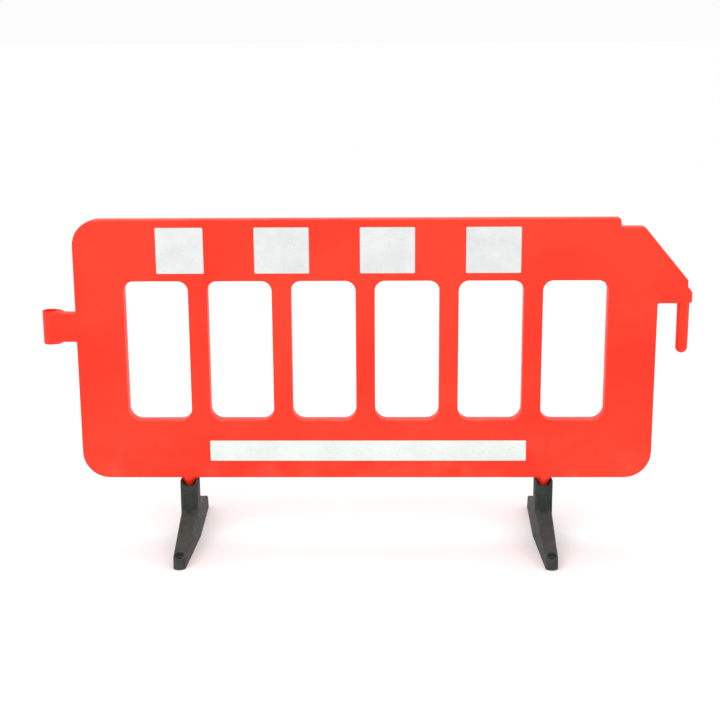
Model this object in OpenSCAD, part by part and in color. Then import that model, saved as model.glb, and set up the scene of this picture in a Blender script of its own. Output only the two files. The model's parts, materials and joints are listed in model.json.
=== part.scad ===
// Portable crowd and roadworks barrier: a hollow plastic panel on two swivelling feet.
// Origin: on the ground, under the middle of the overall length, in the panel's mid plane.
// +X runs along the panel towards the coupling pin, -Y is the front face, +Z is up.

/* [Body] */
// Length of the panel between its two end faces
body_l = 1786; // [1440:1:2160]
// Height of the panel from its bottom edge to its top rail
body_h = 818; // [680:1:990]
// Thickness of the panel, front face to back face
body_t = 50; // [41:1:60]
// Wall thickness of the hollow moulding
wall = 2.8; // [2.4:0.1:4]
// Gap between the ground and the panel's bottom edge
ground_gap = 204; // [170:1:246]
// Corner radius at the top, on the eye side
top_corner_r = 80; // [40:1:120]
// Radius of the two bottom corners
low_corner_r = 84; // [40:1:110]
// Diameter of the drain hole in the bottom edge
drain_d = 10; // [6:1:14]

/* [Windows] */
// Number of windows
window_n = 6; // [4:1:7]
// Width of the bars between the windows
bar_w = 59; // [44:1:72]
// Width of the upright at each end, beside the outer windows
end_w = 151.5; // [126:0.5:182]
// Height of the band above the windows
top_band_h = 189.5; // [180:0.5:228]
// Height of the band below the windows
low_band_h = 186.5; // [150:0.5:224]
// Radius of each window's top corners
window_top_r = 32; // [18:1:40]
// Radius of each window's bottom corners
window_low_r = 39; // [24:1:46]

/* [Shoulder and nose] */
// Distance from the panel's pin-side end face back to the end of the top rail
rail_setback = 119; // [100:1:143]
// Drop from the top rail to the shoulder
shoulder_drop = 27; // [20:1:36]
// Length of the flat shoulder
shoulder_l = 72; // [56:1:86]
// Height of the nose's end face, a lip above the knuckle
lip_h = 14; // [8:0.5:18]
// Distance that the nose stands out past the end face
nose_reach = 90; // [84:1:106]
// Drop from the top rail to the arm's underside
arm_drop = 262; // [218:1:314]

/* [Coupling pin and eye] */
// Diameter of the coupling pin
pin_d = 38; // [31:1:46]
// Length of the pin below the arm
pin_l = 158; // [132:1:190]
// Distance from the panel's end face to the pin's axis
pin_reach = 81.5; // [70:0.5:98]
// Wall of the knuckle outside the line of the pin
knuckle_wall = 7.5; // [5:0.5:9]
// Height of the knuckle that holds the pin
knuckle_h = 58; // [48:1:68]
// Distance that the knuckle's sloping top lies inside the line of the slope
knuckle_inset = 13; // [8:0.5:15]
// Height of the tenon that holds the pin in the knuckle
tenon_h = 35; // [24:1:36]
// Diameter of the tenon that holds the pin in the knuckle
tenon_d = 30; // [25:1:31]
// Wall thickness of the pin
pin_wall = 5; // [3:0.5:8]
// Radial clearance between a pin and the eye of the next barrier
eye_clearance = 1.5; // [1:0.1:2.5]
// Wall of the eye around its bore
eye_wall = 4.5; // [4:0.5:7]
// Height of the eye
eye_h = 106; // [90:1:127]
// Distance from the panel's end face to the eye's axis
eye_reach = 81; // [70:0.5:97]
// Gap between the eye and the neighbour's arm that rests above it
coupling_gap = 19; // [10:1:23]
// Depth that the neck's faces are set back from the panel's faces
neck_setback = 4; // [1:0.5:6]
// Height of the step between the eye and its neck, above and below
neck_step = 8; // [3:1:10]

/* [Feet] */
// Length of a foot, from toe to toe
foot_l = 584; // [490:1:700]
// Width of a foot at its middle
foot_w = 58; // [52:1:70]
// Width of a foot at its toes
toe_w = 39; // [35:1:47]
// Height of the toes
toe_h = 45; // [37:1:54]
// Height of the arms where they meet the post
arm_root_h = 95; // [80:1:108]
// Height at which the gussets meet the post
gusset_h = 100; // [92:1:120]
// Length of the gussets along the arms
gusset_l = 10; // [6:1:14]
// Width of the post
post_w = 55; // [52:1:66]
// Depth of the post, front to back
post_d = 66; // [58:1:79]
// Radius of the post's upright edges
post_edge_r = 6; // [3:1:9]
// Gap between the post's horns and the panel
horn_gap = 8; // [5:1:10]
// Distance from each end face of the panel to the foot's axis
foot_inset = 333; // [320:1:400]
// Diameter of the well in each toe
anchor_well_d = 27; // [22:1:32]
// Depth of the well in each toe
anchor_well_depth = 13; // [8:1:16]
// Diameter of the ground anchor hole under each well
anchor_hole_d = 13; // [10:1:16]
// Width of the shallow pocket in the post's front and back
pocket_w = 32; // [24:1:38]
// Depth of that pocket
pocket_depth = 3; // [2:0.5:5]

/* [Pivots] */
// Diameter of the boss where it leaves the panel
boss_d = 56; // [48:1:58]
// Length of the boss's cone
boss_h = 27; // [22:1:32]
// Diameter of the spigot below the cone
spigot_d = 28; // [25:1:34]
// Length of the spigot
spigot_l = 27; // [20:1:32]
// Radial clearance between the boss and its seat in the foot
seat_clearance = 0.5; // [0.4:0.1:1]
// Thickness of the foot's web that the sleeve passes through
web_t = 12; // [8:1:16]
// Outer diameter of the pivot sleeve
sleeve_d = 16; // [14:1:18]
// Radial running clearance of the sleeve in the web
sleeve_clearance = 0.06; // [0.03:0.01:0.09]
// Axial play of the foot between the spigot and the washer
foot_play = 0.4; // [0.3:0.1:0.8]
// Diameter of the pivot bolt
bolt_d = 10; // [8:1:11]
// Clearance around the bolt in the sleeve and washer
bolt_clearance = 0.3; // [0.2:0.1:0.5]
// Bolt head size across its flats
bolt_head_af = 16; // [13:1:18]
// Bolt head height
bolt_head_h = 6.4; // [5:0.1:8]
// Length of bolt screwed into the insert
bolt_grip = 30; // [22:1:34]
// Outer diameter of the washer
washer_d = 36; // [28:1:37]
// Thickness of the washer
washer_t = 3; // [2:0.5:4]
// Outer diameter of the threaded insert
insert_d = 18; // [16:1:20]
// Length of the threaded insert
insert_l = 40; // [36:1:46]
// Diameter of the core in the post, open downwards
core_d = 40; // [38:1:44]

/* [Reflective sheets] */
// Number of sheets on the top band
sheet_n = 4; // [3:1:4]
// Width of a sheet
sheet_w = 167; // [139:1:200]
// Width of the narrow first sheet
first_sheet_w = 145; // [118:1:170]
// Height of the sheets
sheet_h = 141; // [118:1:160]
// Thickness of the sheets
sheet_t = 0.6; // [0.4:0.1:1]
// Distance from the panel's eye-side end face to the sheets
sheet_start = 234; // [200:1:280]
// Distance from the sheets to the panel's pin-side end face
sheet_end = 419; // [350:1:500]
// Height of the long strip
strip_h = 66; // [55:1:79]
// Height of the strip's lower edge above the panel's bottom edge
strip_rise = 56; // [47:1:60]
// Distance from the panel's eye-side end face to the strip
strip_start = 404; // [337:1:485]
// Distance from the strip to the panel's pin-side end face
strip_end = 392; // [327:1:470]
// Depth of the shallow seats that hold the sheets
seat_depth = 1; // [0.8:0.1:1.4]
// Margin of the seat around each sheet
seat_margin = 0.8; // [0.5:0.1:1.5]
// Corner radius of the sheets
sheet_corner_r = 4; // [2:1:8]

/* [Hidden] */
$fn = 96;

FRONT = -1;
BACK = 1;
LEFT = -1;
RIGHT = 1;
// Extra length that lets a cut run clean through a face
cut = 1;

// Coupling sizes
pin_r = pin_d / 2;
knuckle_r = pin_r + knuckle_wall;
eye_bore_r = pin_r + eye_clearance;
eye_r = eye_bore_r + eye_wall;

// Panel places
overall_l = body_l + eye_reach + eye_r + pin_reach + knuckle_r;
body_x0 = eye_reach + eye_r - overall_l / 2;
body_x1 = body_x0 + body_l;
body_z0 = ground_gap;
body_z1 = body_z0 + body_h;
rail_x1 = body_x1 - rail_setback;
shoulder_x1 = rail_x1 + shoulder_l;
shoulder_z = body_z1 - shoulder_drop;
nose_x1 = body_x1 + nose_reach;
arm_z0 = body_z1 - arm_drop;
knuckle_z1 = arm_z0 + knuckle_h;
slope_h = shoulder_z - knuckle_z1 - lip_h;
slope_angle = atan2(slope_h, nose_x1 - shoulder_x1);
neck_t = body_t - 2 * neck_setback;
pin_x = body_x1 + pin_reach;
pin_z0 = arm_z0 - pin_l;
tenon_r = tenon_d / 2;
tenon_z1 = arm_z0 + tenon_h;
eye_x = body_x0 - eye_reach;
eye_z1 = arm_z0 - coupling_gap;
eye_z0 = eye_z1 - eye_h;

// Window places
window_w = (body_l - 2 * end_w - (window_n - 1) * bar_w) / window_n;
window_z0 = body_z0 + low_band_h;
window_z1 = body_z1 - top_band_h;
function window_x(i) = body_x0 + end_w + i * (window_w + bar_w);

// Sheet places
sheet_pitch = (body_l - sheet_start - sheet_end - sheet_w) / (sheet_n - 1);
sheet_z0 = (window_z1 + body_z1 - sheet_h) / 2;
strip_z0 = body_z0 + strip_rise;
function sheet_x1(i) = body_x0 + sheet_start + sheet_w + i * sheet_pitch;
function sheet_x0(i) = sheet_x1(i) - (i == 0 ? first_sheet_w : sheet_w);

// Pivot places, from the panel downwards
boss_r = boss_d / 2;
spigot_r = spigot_d / 2;
cone_z0 = body_z0 - boss_h;
spigot_z0 = cone_z0 - spigot_l;
web_z0 = spigot_z0 - web_t;
sleeve_z0 = web_z0 - foot_play;
washer_z0 = sleeve_z0 - washer_t;
sleeve_r = sleeve_d / 2;
bolt_r = bolt_d / 2;
insert_r = insert_d / 2;
insert_groove = 1;
insert_band = insert_l / 5;
function foot_x(side) = side < 0 ? body_x0 + foot_inset : body_x1 - foot_inset;

// Foot places
horn_z1 = body_z0 - horn_gap;
toe_r = toe_w / 2;
toe_y = foot_l / 2 - toe_r;
toe_round_r = 0.55 * toe_h;
post_y = post_d / 2;
pocket_z0 = gusset_h - 8;
pocket_z1 = web_z0 + web_t;

// Extrudes an outline drawn in the X-Z plane to a thickness centred on the mid plane.
module plate(t) {
    rotate([90, 0, 0]) linear_extrude(t, center = true) children();
}

// What is left over between a square corner and its arc, with the corner at the origin.
module corner_waste(r) {
    difference() {
        translate([-cut, -cut]) square(r + cut);
        translate([r, r]) circle(r);
    }
}

// Rectangle with its own radius at each corner: bottom left, bottom right, top right, top left.
module rounded_rect(x0, x1, z0, z1, radii) {
    corners = [[x0, z0], [x1, z0], [x1, z1], [x0, z1]];
    difference() {
        translate([x0, z0]) square([x1 - x0, z1 - z0]);
        for (k = [0 : 3])
            if (radii[k] > 0) translate(corners[k]) rotate(90 * k) corner_waste(radii[k]);
    }
}

// Everything below the slope, moved inwards by d.
module below_slope(d) {
    run = body_l * cos(slope_angle);
    fall = body_l * sin(slope_angle);
    translate([shoulder_x1 - d * sin(slope_angle), shoulder_z - d * cos(slope_angle)])
        polygon([[-run, fall], [run, -fall], [-run, -fall]]);
}

// The main slab up to the end of the top rail, moved inwards by d.
module rail_outline(d) {
    rounded_rect(body_x0 + d, rail_x1 - d, body_z0 + d, body_z1 - d,
        [low_corner_r - d, 0, 0, top_corner_r - d]);
}

// The pin-side end below the shoulder, with the arm that reaches out to end_x, moved inwards by d.
module end_outline(d, end_x) {
    intersection() {
        union() {
            rounded_rect(rail_x1 - end_w, body_x1 - d, body_z0 + d, shoulder_z - d,
                [0, low_corner_r - d, 0, 0]);
            translate([rail_x1, arm_z0 + d]) square([end_x - rail_x1, shoulder_z - arm_z0 - 2 * d]);
        }
        below_slope(d);
    }
}

// The neck between the panel and the eye, moved inwards by d.
module neck_outline(d, end_x) {
    z0 = eye_z0 + neck_step + d;
    z1 = eye_z1 - neck_step - d;
    translate([end_x, z0]) square([body_x0 + low_corner_r - end_x, z1 - z0]);
}

// All the windows, grown outwards by d.
module window_outlines(d) {
    for (i = [0 : window_n - 1])
        rounded_rect(window_x(i) - d, window_x(i) + window_w + d, window_z0 - d, window_z1 + d,
            [window_low_r + d, window_low_r + d, window_top_r + d, window_top_r + d]);
}

// The lip of the nose, which overhangs the knuckle.
module nose_lip() {
    plate(body_t) intersection() {
        translate([pin_x - knuckle_r, knuckle_z1])
            square([nose_x1 - pin_x + knuckle_r, shoulder_z - knuckle_z1]);
        below_slope(0);
    }
}

// The round knuckle that holds the pin, with a top that slopes like the arm above it.
module knuckle() {
    intersection() {
        translate([pin_x, 0, arm_z0]) cylinder(h = knuckle_h, r = knuckle_r);
        plate(2 * knuckle_r + cut) below_slope(knuckle_inset);
    }
}

// The hollow inside the moulding, one wall inside every outer face.
module cavity() {
    difference() {
        union() {
            plate(body_t - 2 * wall) rail_outline(wall);
            plate(body_t - 2 * wall) end_outline(wall, pin_x - knuckle_r - wall);
            plate(neck_t - 2 * wall) neck_outline(wall, eye_x + eye_r + wall);
        }
        plate(body_t) window_outlines(wall);
    }
}

// The boss that a foot turns on: a cone within the panel's thickness, then a round spigot.
module boss(side) {
    translate([foot_x(side), 0, 0]) {
        intersection() {
            translate([0, 0, cone_z0]) cylinder(h = boss_h, r1 = spigot_r, r2 = boss_r);
            translate([-boss_r, -body_t / 2, cone_z0]) cube([boss_d, body_t, boss_h]);
        }
        translate([0, 0, spigot_z0]) cylinder(h = spigot_l + cut, r = spigot_r);
    }
}

// Outer shape of a threaded insert, with two retaining grooves.
module insert_blank(side) {
    grooved_r = insert_r - insert_groove;
    translate([foot_x(side), 0, spigot_z0]) {
        cylinder(h = insert_l, r = grooved_r);
        for (k = [0, 2, 4]) translate([0, 0, k * insert_band]) cylinder(h = insert_band, r = insert_r);
    }
}

// A sheet's outline, grown by d.
module sheet_outline(x0, x1, z0, h, d) {
    r = sheet_corner_r + d;
    rounded_rect(x0 - d, x1 + d, z0 - d, z0 + h + d, [r, r, r, r]);
}

// A layer of thickness t whose outer side lies depth below the chosen face of the panel.
module on_face(face, depth, t) {
    y = face * (body_t / 2 - depth - t / 2);
    translate([0, y, 0]) plate(t) children();
}

module square_outline(i, d) {
    sheet_outline(sheet_x0(i), sheet_x1(i), sheet_z0, sheet_h, d);
}

module strip_outline(d) {
    sheet_outline(body_x0 + strip_start, body_x1 - strip_end, strip_z0, strip_h, d);
}

module sheet_seats(face) {
    on_face(face, -cut, seat_depth + cut) {
        for (i = [0 : sheet_n - 1]) square_outline(i, seat_margin);
        strip_outline(seat_margin);
    }
}

module panel() {
    color("orangered") difference() {
        union() {
            plate(body_t) {
                rail_outline(0);
                end_outline(0, pin_x);
            }
            plate(neck_t) neck_outline(0, eye_x);
            nose_lip();
            knuckle();
            translate([eye_x, 0, eye_z0]) cylinder(h = eye_h, r = eye_r);
            boss(LEFT);
            boss(RIGHT);
        }
        cavity();
        plate(body_t + 2 * cut) window_outlines(0);
        sheet_seats(FRONT);
        sheet_seats(BACK);
        translate([pin_x, 0, arm_z0 - cut]) cylinder(h = tenon_z1 - arm_z0 + cut, r = tenon_r);
        translate([eye_x, 0, eye_z0 - cut]) cylinder(h = eye_h + 2 * cut, r = eye_bore_r);
        insert_blank(LEFT);
        insert_blank(RIGHT);
        translate([(body_x0 + body_x1) / 2, 0, body_z0 - cut]) cylinder(h = wall + 2 * cut, d = drain_d);
    }
}

// A hollow pin with a round end. Its shank butts on the knuckle, and its tenon fills the knuckle's socket.
module coupling_pin() {
    tip_z = pin_z0 + pin_r;
    color("orangered") translate([pin_x, 0, 0]) difference() {
        union() {
            translate([0, 0, tip_z]) sphere(pin_r);
            translate([0, 0, tip_z]) cylinder(h = arm_z0 - tip_z, r = pin_r);
            translate([0, 0, arm_z0]) cylinder(h = tenon_z1 - arm_z0, r = tenon_r);
        }
        translate([0, 0, tip_z]) cylinder(h = arm_z0 - tip_z - pin_wall, r = pin_r - pin_wall);
        translate([0, 0, tip_z]) cylinder(h = tenon_z1 - tip_z + cut, r = tenon_r - pin_wall);
    }
}

module square_sheet(i, face) {
    color("whitesmoke") on_face(face, seat_depth - sheet_t, sheet_t) square_outline(i, 0);
}

module strip_sheet(face) {
    color("whitesmoke") on_face(face, seat_depth - sheet_t, sheet_t) strip_outline(0);
}

// Half of a foot's side view, from its middle to one toe, drawn with y to the right and z up.
module foot_half_profile() {
    difference() {
        polygon([
            [0, 0], [foot_l / 2, 0], [foot_l / 2, toe_h], [toe_y, toe_h],
            [post_y + gusset_l, arm_root_h], [post_y, gusset_h], [0, gusset_h]
        ]);
        translate([foot_l / 2, toe_h]) rotate(180) corner_waste(toe_round_r);
    }
}

// Plan view of a foot: widest at the post, with round toes.
module foot_plan() {
    polygon([
        [-foot_w / 2, 0], [-toe_r, -toe_y], [toe_r, -toe_y],
        [foot_w / 2, 0], [toe_r, toe_y], [-toe_r, toe_y]
    ]);
    for (end = [-1, 1]) translate([0, end * toe_y]) circle(toe_r);
}

// The two arms with their gussets.
module foot_arms() {
    intersection() {
        linear_extrude(gusset_h) foot_plan();
        rotate([90, 0, 90]) linear_extrude(2 * foot_w, center = true) {
            foot_half_profile();
            mirror([1, 0]) foot_half_profile();
        }
    }
}

module post() {
    linear_extrude(horn_z1)
        rounded_rect(-post_w / 2, post_w / 2, -post_y, post_y,
            [post_edge_r, post_edge_r, post_edge_r, post_edge_r]);
}

// Seat for the boss: round where the boss turns, and open to the front and back between the horns.
module boss_seat() {
    r0 = spigot_r + seat_clearance;
    r1 = boss_r + seat_clearance;
    translate([0, 0, spigot_z0]) cylinder(h = spigot_l + cut, r = r0);
    translate([0, 0, cone_z0]) cylinder(h = boss_h, r1 = r0, r2 = r1);
    plate(post_d + 2 * cut)
        polygon([[-r0, cone_z0], [r0, cone_z0], [r1, body_z0], [-r1, body_z0]]);
}

// Shallow pocket with a round bottom, cut into one face of the post.
module post_pocket(face) {
    translate([0, face * post_y, 0]) plate(2 * pocket_depth) {
        translate([-pocket_w / 2, pocket_z0 + pocket_w / 2])
            square([pocket_w, pocket_z1 - pocket_z0 - pocket_w / 2]);
        translate([0, pocket_z0 + pocket_w / 2]) circle(pocket_w / 2);
    }
}

module toe_anchor(end) {
    translate([0, end * toe_y, 0]) {
        translate([0, 0, -cut]) cylinder(h = toe_h + 2 * cut, d = anchor_hole_d);
        translate([0, 0, toe_h - anchor_well_depth])
            cylinder(h = anchor_well_depth + arm_root_h, d = anchor_well_d);
    }
}

module foot(side) {
    color("dimgray") translate([foot_x(side), 0, 0]) difference() {
        union() {
            foot_arms();
            post();
        }
        boss_seat();
        translate([0, 0, web_z0 - cut]) cylinder(h = web_t + 2 * cut, r = sleeve_r + sleeve_clearance);
        translate([0, 0, -cut]) cylinder(h = web_z0 + cut, d = core_d);
        post_pocket(FRONT);
        post_pocket(BACK);
        toe_anchor(-1);
        toe_anchor(1);
    }
}

module threaded_insert(side) {
    color("goldenrod") difference() {
        insert_blank(side);
        translate([foot_x(side), 0, spigot_z0 - cut]) cylinder(h = insert_l + 2 * cut, r = bolt_r);
    }
}

module sleeve(side) {
    color("silver") translate([foot_x(side), 0, sleeve_z0]) difference() {
        cylinder(h = spigot_z0 - sleeve_z0, r = sleeve_r);
        translate([0, 0, -cut]) cylinder(h = web_t + foot_play + 2 * cut, r = bolt_r + bolt_clearance);
    }
}

module washer(side) {
    color("silver") translate([foot_x(side), 0, washer_z0]) difference() {
        cylinder(h = washer_t, d = washer_d);
        translate([0, 0, -cut]) cylinder(h = washer_t + 2 * cut, r = bolt_r + bolt_clearance);
    }
}

module bolt(side) {
    color("silver") translate([foot_x(side), 0, washer_z0]) {
        translate([0, 0, -bolt_head_h]) cylinder(h = bolt_head_h, d = bolt_head_af / cos(30), $fn = 6);
        cylinder(h = spigot_z0 - washer_z0 + bolt_grip, r = bolt_r);
    }
}

panel();
coupling_pin();
square_sheet(0, FRONT);  // front_sheet_1
square_sheet(1, FRONT);  // front_sheet_2
square_sheet(2, FRONT);  // front_sheet_3
square_sheet(3, FRONT);  // front_sheet_4
strip_sheet(FRONT);  // front_strip
square_sheet(0, BACK);  // back_sheet_1
square_sheet(1, BACK);  // back_sheet_2
square_sheet(2, BACK);  // back_sheet_3
square_sheet(3, BACK);  // back_sheet_4
strip_sheet(BACK);  // back_strip
foot(LEFT);  // left_foot
foot(RIGHT);  // right_foot
threaded_insert(LEFT);  // left_insert
threaded_insert(RIGHT);  // right_insert
sleeve(LEFT);  // left_sleeve
sleeve(RIGHT);  // right_sleeve
washer(LEFT);  // left_washer
washer(RIGHT);  // right_washer
bolt(LEFT);  // left_bolt
bolt(RIGHT);  // right_bolt
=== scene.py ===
"""The looks of a portable plastic barrier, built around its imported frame.

Places and sizes are in metres in the frame's own axes: +X runs along the panel towards the coupling
pin, -Y is the front, +Z is up, and the ground is at zero.
"""
import json
import logging
import math
from collections.abc import Callable, Iterable, Sequence
from dataclasses import dataclass, field
from enum import Enum

import bpy
import numpy as np
from mathutils import Matrix, Vector, noise
from mathutils.geometry import delaunay_2d_cdt


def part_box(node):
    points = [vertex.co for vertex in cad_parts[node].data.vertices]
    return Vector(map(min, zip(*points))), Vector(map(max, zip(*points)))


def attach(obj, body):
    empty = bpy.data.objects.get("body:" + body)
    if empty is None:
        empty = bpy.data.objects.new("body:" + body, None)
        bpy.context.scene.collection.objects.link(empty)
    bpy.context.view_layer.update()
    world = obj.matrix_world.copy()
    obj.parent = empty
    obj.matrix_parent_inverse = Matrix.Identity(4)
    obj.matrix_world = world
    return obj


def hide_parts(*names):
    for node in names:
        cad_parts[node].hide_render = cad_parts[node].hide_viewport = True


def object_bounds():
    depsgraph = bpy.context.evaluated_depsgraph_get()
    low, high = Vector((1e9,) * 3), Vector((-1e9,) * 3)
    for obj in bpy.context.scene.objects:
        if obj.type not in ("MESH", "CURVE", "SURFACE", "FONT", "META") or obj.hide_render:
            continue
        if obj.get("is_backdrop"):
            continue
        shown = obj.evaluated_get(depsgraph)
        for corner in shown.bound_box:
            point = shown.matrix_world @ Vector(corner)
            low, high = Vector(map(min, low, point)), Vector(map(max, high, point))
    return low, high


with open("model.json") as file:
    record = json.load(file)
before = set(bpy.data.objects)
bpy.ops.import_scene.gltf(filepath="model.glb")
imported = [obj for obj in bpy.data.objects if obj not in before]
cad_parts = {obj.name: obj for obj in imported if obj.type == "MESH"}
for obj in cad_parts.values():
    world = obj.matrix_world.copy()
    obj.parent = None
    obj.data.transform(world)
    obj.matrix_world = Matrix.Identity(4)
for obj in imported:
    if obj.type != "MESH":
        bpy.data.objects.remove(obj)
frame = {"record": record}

CAD_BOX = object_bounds()
MM = 0.001
SMALLEST_RADIUS = 0.4 * MM
SQUARE_SHEETS = 4
LOG = logging.getLogger("barrier")

Colour = tuple[float, float, float]
Trim = Callable[[float, float, float], float]


class Face(Enum):
    """The two faces of the panel, by the sign of their Y."""

    FRONT = -1
    BACK = 1


class Side(Enum):
    """The two feet, by the sign of their X."""

    LEFT = -1
    RIGHT = 1


class Cut(Enum):
    """What a boolean does with its tool."""

    JOIN = "UNION"
    REMOVE = "DIFFERENCE"


# ---------------------------------------------------------------------------------------- finishes


class Desk:
    """One material's nodes, with short calls for the patterns that the finishes share."""

    def __init__(self, name: str) -> None:
        """Starts a material that has only a shader and object coordinates.

        Args:
            name: The material's name.
        """
        self.material = bpy.data.materials.new(name)
        self.material.use_nodes = True
        self.tree = self.material.node_tree
        self.tree.nodes.clear()
        self.shader = self.add("ShaderNodeBsdfPrincipled")
        output = self.add("ShaderNodeOutputMaterial")
        self.join(self.shader.outputs["BSDF"], output.inputs["Surface"])
        self.place = self.add("ShaderNodeTexCoord").outputs["Object"]

    def add(self, kind: str, **settings: object) -> bpy.types.Node:
        """Adds a node.

        Args:
            kind: The node's type name.
            **settings: Properties to set on the node.

        Returns:
            The new node.
        """
        node = self.tree.nodes.new(kind)
        for key, value in settings.items():
            setattr(node, key, value)
        return node

    def join(self, source: bpy.types.NodeSocket, target: bpy.types.NodeSocket) -> None:
        """Links one socket to another."""
        self.tree.links.new(source, target)

    def feed(self, target: bpy.types.NodeSocket, value: object) -> None:
        """Links a socket to target, or sets target to a plain value.

        Args:
            target: The input that takes the value.
            value: A socket, a number or a colour.
        """
        if isinstance(value, bpy.types.NodeSocket):
            self.join(value, target)
        elif isinstance(value, tuple) and len(value) == 3 and len(target.default_value) == 4:
            target.default_value = (*value, 1.0)
        else:
            target.default_value = value

    def spread(self, stretch: tuple[float, float, float], turn: float = 0.0) -> bpy.types.NodeSocket:
        """Gives object coordinates scaled along each axis.

        Args:
            stretch: The scale along X, Y and Z.
            turn: An angle about Y, in radians.

        Returns:
            The vector socket.
        """
        mapping = self.add("ShaderNodeMapping")
        self.join(self.place, mapping.inputs["Vector"])
        mapping.inputs["Scale"].default_value = stretch
        mapping.inputs["Rotation"].default_value = (0.0, turn, 0.0)
        return mapping.outputs["Vector"]

    def cloud(self, scale: float, detail: float = 2.0, at: bpy.types.NodeSocket | None = None,
              rough: float = 0.5) -> bpy.types.NodeSocket:
        """Gives soft noise.

        Args:
            scale: Features per metre.
            detail: How many finer octaves are added.
            at: The coordinates, or None for plain object coordinates.
            rough: How strong the finer octaves are.

        Returns:
            A value socket around 0.5.
        """
        node = self.add("ShaderNodeTexNoise")
        self.join(at or self.place, node.inputs["Vector"])
        node.inputs["Scale"].default_value = scale
        node.inputs["Detail"].default_value = detail
        node.inputs["Roughness"].default_value = rough
        return node.outputs["Fac"]

    def cells(self, scale: float, output: str = "Distance") -> bpy.types.NodeSocket:
        """Gives a cell pattern.

        Args:
            scale: Cells per metre.
            output: The name of the output to use.

        Returns:
            The chosen socket.
        """
        node = self.add("ShaderNodeTexVoronoi")
        self.join(self.place, node.inputs["Vector"])
        node.inputs["Scale"].default_value = scale
        return node.outputs[output]

    def span(self, value: bpy.types.NodeSocket, low: float, high: float,
             out_low: float = 0.0, out_high: float = 1.0) -> bpy.types.NodeSocket:
        """Maps a range of a value smoothly to another range, and holds it beyond the ends.

        Args:
            value: The value to map.
            low: The value that gives out_low.
            high: The value that gives out_high.
            out_low: The result at low.
            out_high: The result at high.

        Returns:
            The mapped value.
        """
        node = self.add("ShaderNodeMapRange", interpolation_type="SMOOTHSTEP")
        for key, number in (("From Min", low), ("From Max", high), ("To Min", out_low), ("To Max", out_high)):
            node.inputs[key].default_value = number
        self.join(value, node.inputs["Value"])
        return node.outputs["Result"]

    def count(self, operation: str, first: object, second: object) -> bpy.types.NodeSocket:
        """Works out one sum.

        Args:
            operation: The Math node's operation.
            first: A socket or number.
            second: A socket or number.

        Returns:
            The result.
        """
        node = self.add("ShaderNodeMath", operation=operation)
        self.feed(node.inputs[0], first)
        self.feed(node.inputs[1], second)
        return node.outputs["Value"]

    def times(self, first: object, second: object) -> bpy.types.NodeSocket:
        """Multiplies two values."""
        return self.count("MULTIPLY", first, second)

    def most(self, first: object, second: object) -> bpy.types.NodeSocket:
        """Gives the larger of two values."""
        return self.count("MAXIMUM", first, second)

    def patch(self, scale: float, detail: float, low: float, high: float,
              out_low: float = 0.0, out_high: float = 1.0) -> bpy.types.NodeSocket:
        """Gives soft noise mapped to a range, as span does.

        Args:
            scale: Features per metre.
            detail: How many finer octaves are added.
            low: The noise that gives out_low.
            high: The noise that gives out_high.
            out_low: The result at low.
            out_high: The result at high.

        Returns:
            The mapped value.
        """
        return self.span(self.cloud(scale, detail), low, high, out_low, out_high)

    def tint(self, share: object, first: object, second: object, how: str = "MIX") -> bpy.types.NodeSocket:
        """Mixes two colours.

        Args:
            share: How much of the second colour shows.
            first: A colour or colour socket.
            second: A colour or colour socket.
            how: The blend type.

        Returns:
            The mixed colour.
        """
        node = self.add("ShaderNodeMix", data_type="RGBA", blend_type=how)
        self.feed(node.inputs["Factor"], share)
        self.feed(node.inputs[6], first)
        self.feed(node.inputs[7], second)
        return node.outputs[2]

    def wear(self) -> bpy.types.NodeSocket:
        """Gives how far each point of the mesh stands out, as mark_wear stored it."""
        return self.add("ShaderNodeAttribute", attribute_name="wear").outputs["Fac"]

    def facing_up(self) -> bpy.types.NodeSocket:
        """Gives 1 where the surface faces up and 0 where it is upright or faces down."""
        split = self.add("ShaderNodeSeparateXYZ")
        self.join(self.add("ShaderNodeTexCoord").outputs["Normal"], split.inputs["Vector"])
        return self.span(split.outputs["Z"], 0.25, 0.95)

    def height(self) -> bpy.types.NodeSocket:
        """Gives the height above the ground at rest, in metres."""
        split = self.add("ShaderNodeSeparateXYZ")
        self.join(self.place, split.inputs["Vector"])
        return split.outputs["Z"]

    def relief(self, *layers: tuple[bpy.types.NodeSocket, float, float]) -> None:
        """Stacks bumps on the shader's normal.

        Args:
            *layers: Each layer's height, strength and depth in metres.
        """
        below = None
        for value, strength, depth in layers:
            bump = self.add("ShaderNodeBump")
            bump.inputs["Strength"].default_value = strength
            bump.inputs["Distance"].default_value = depth
            self.join(value, bump.inputs["Height"])
            if below is not None:
                self.join(below, bump.inputs["Normal"])
            below = bump.outputs["Normal"]
        self.join(below, self.shader.inputs["Normal"])

    def settle(self, **values: object) -> bpy.types.Material:
        """Sets the shader's sockets and gives the material.

        Args:
            **values: Each socket's name with underscores for spaces, and its value or socket.

        Returns:
            The finished material.
        """
        for key, value in values.items():
            self.feed(self.shader.inputs[key.replace("_", " ")], value)
        return self.material


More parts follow.
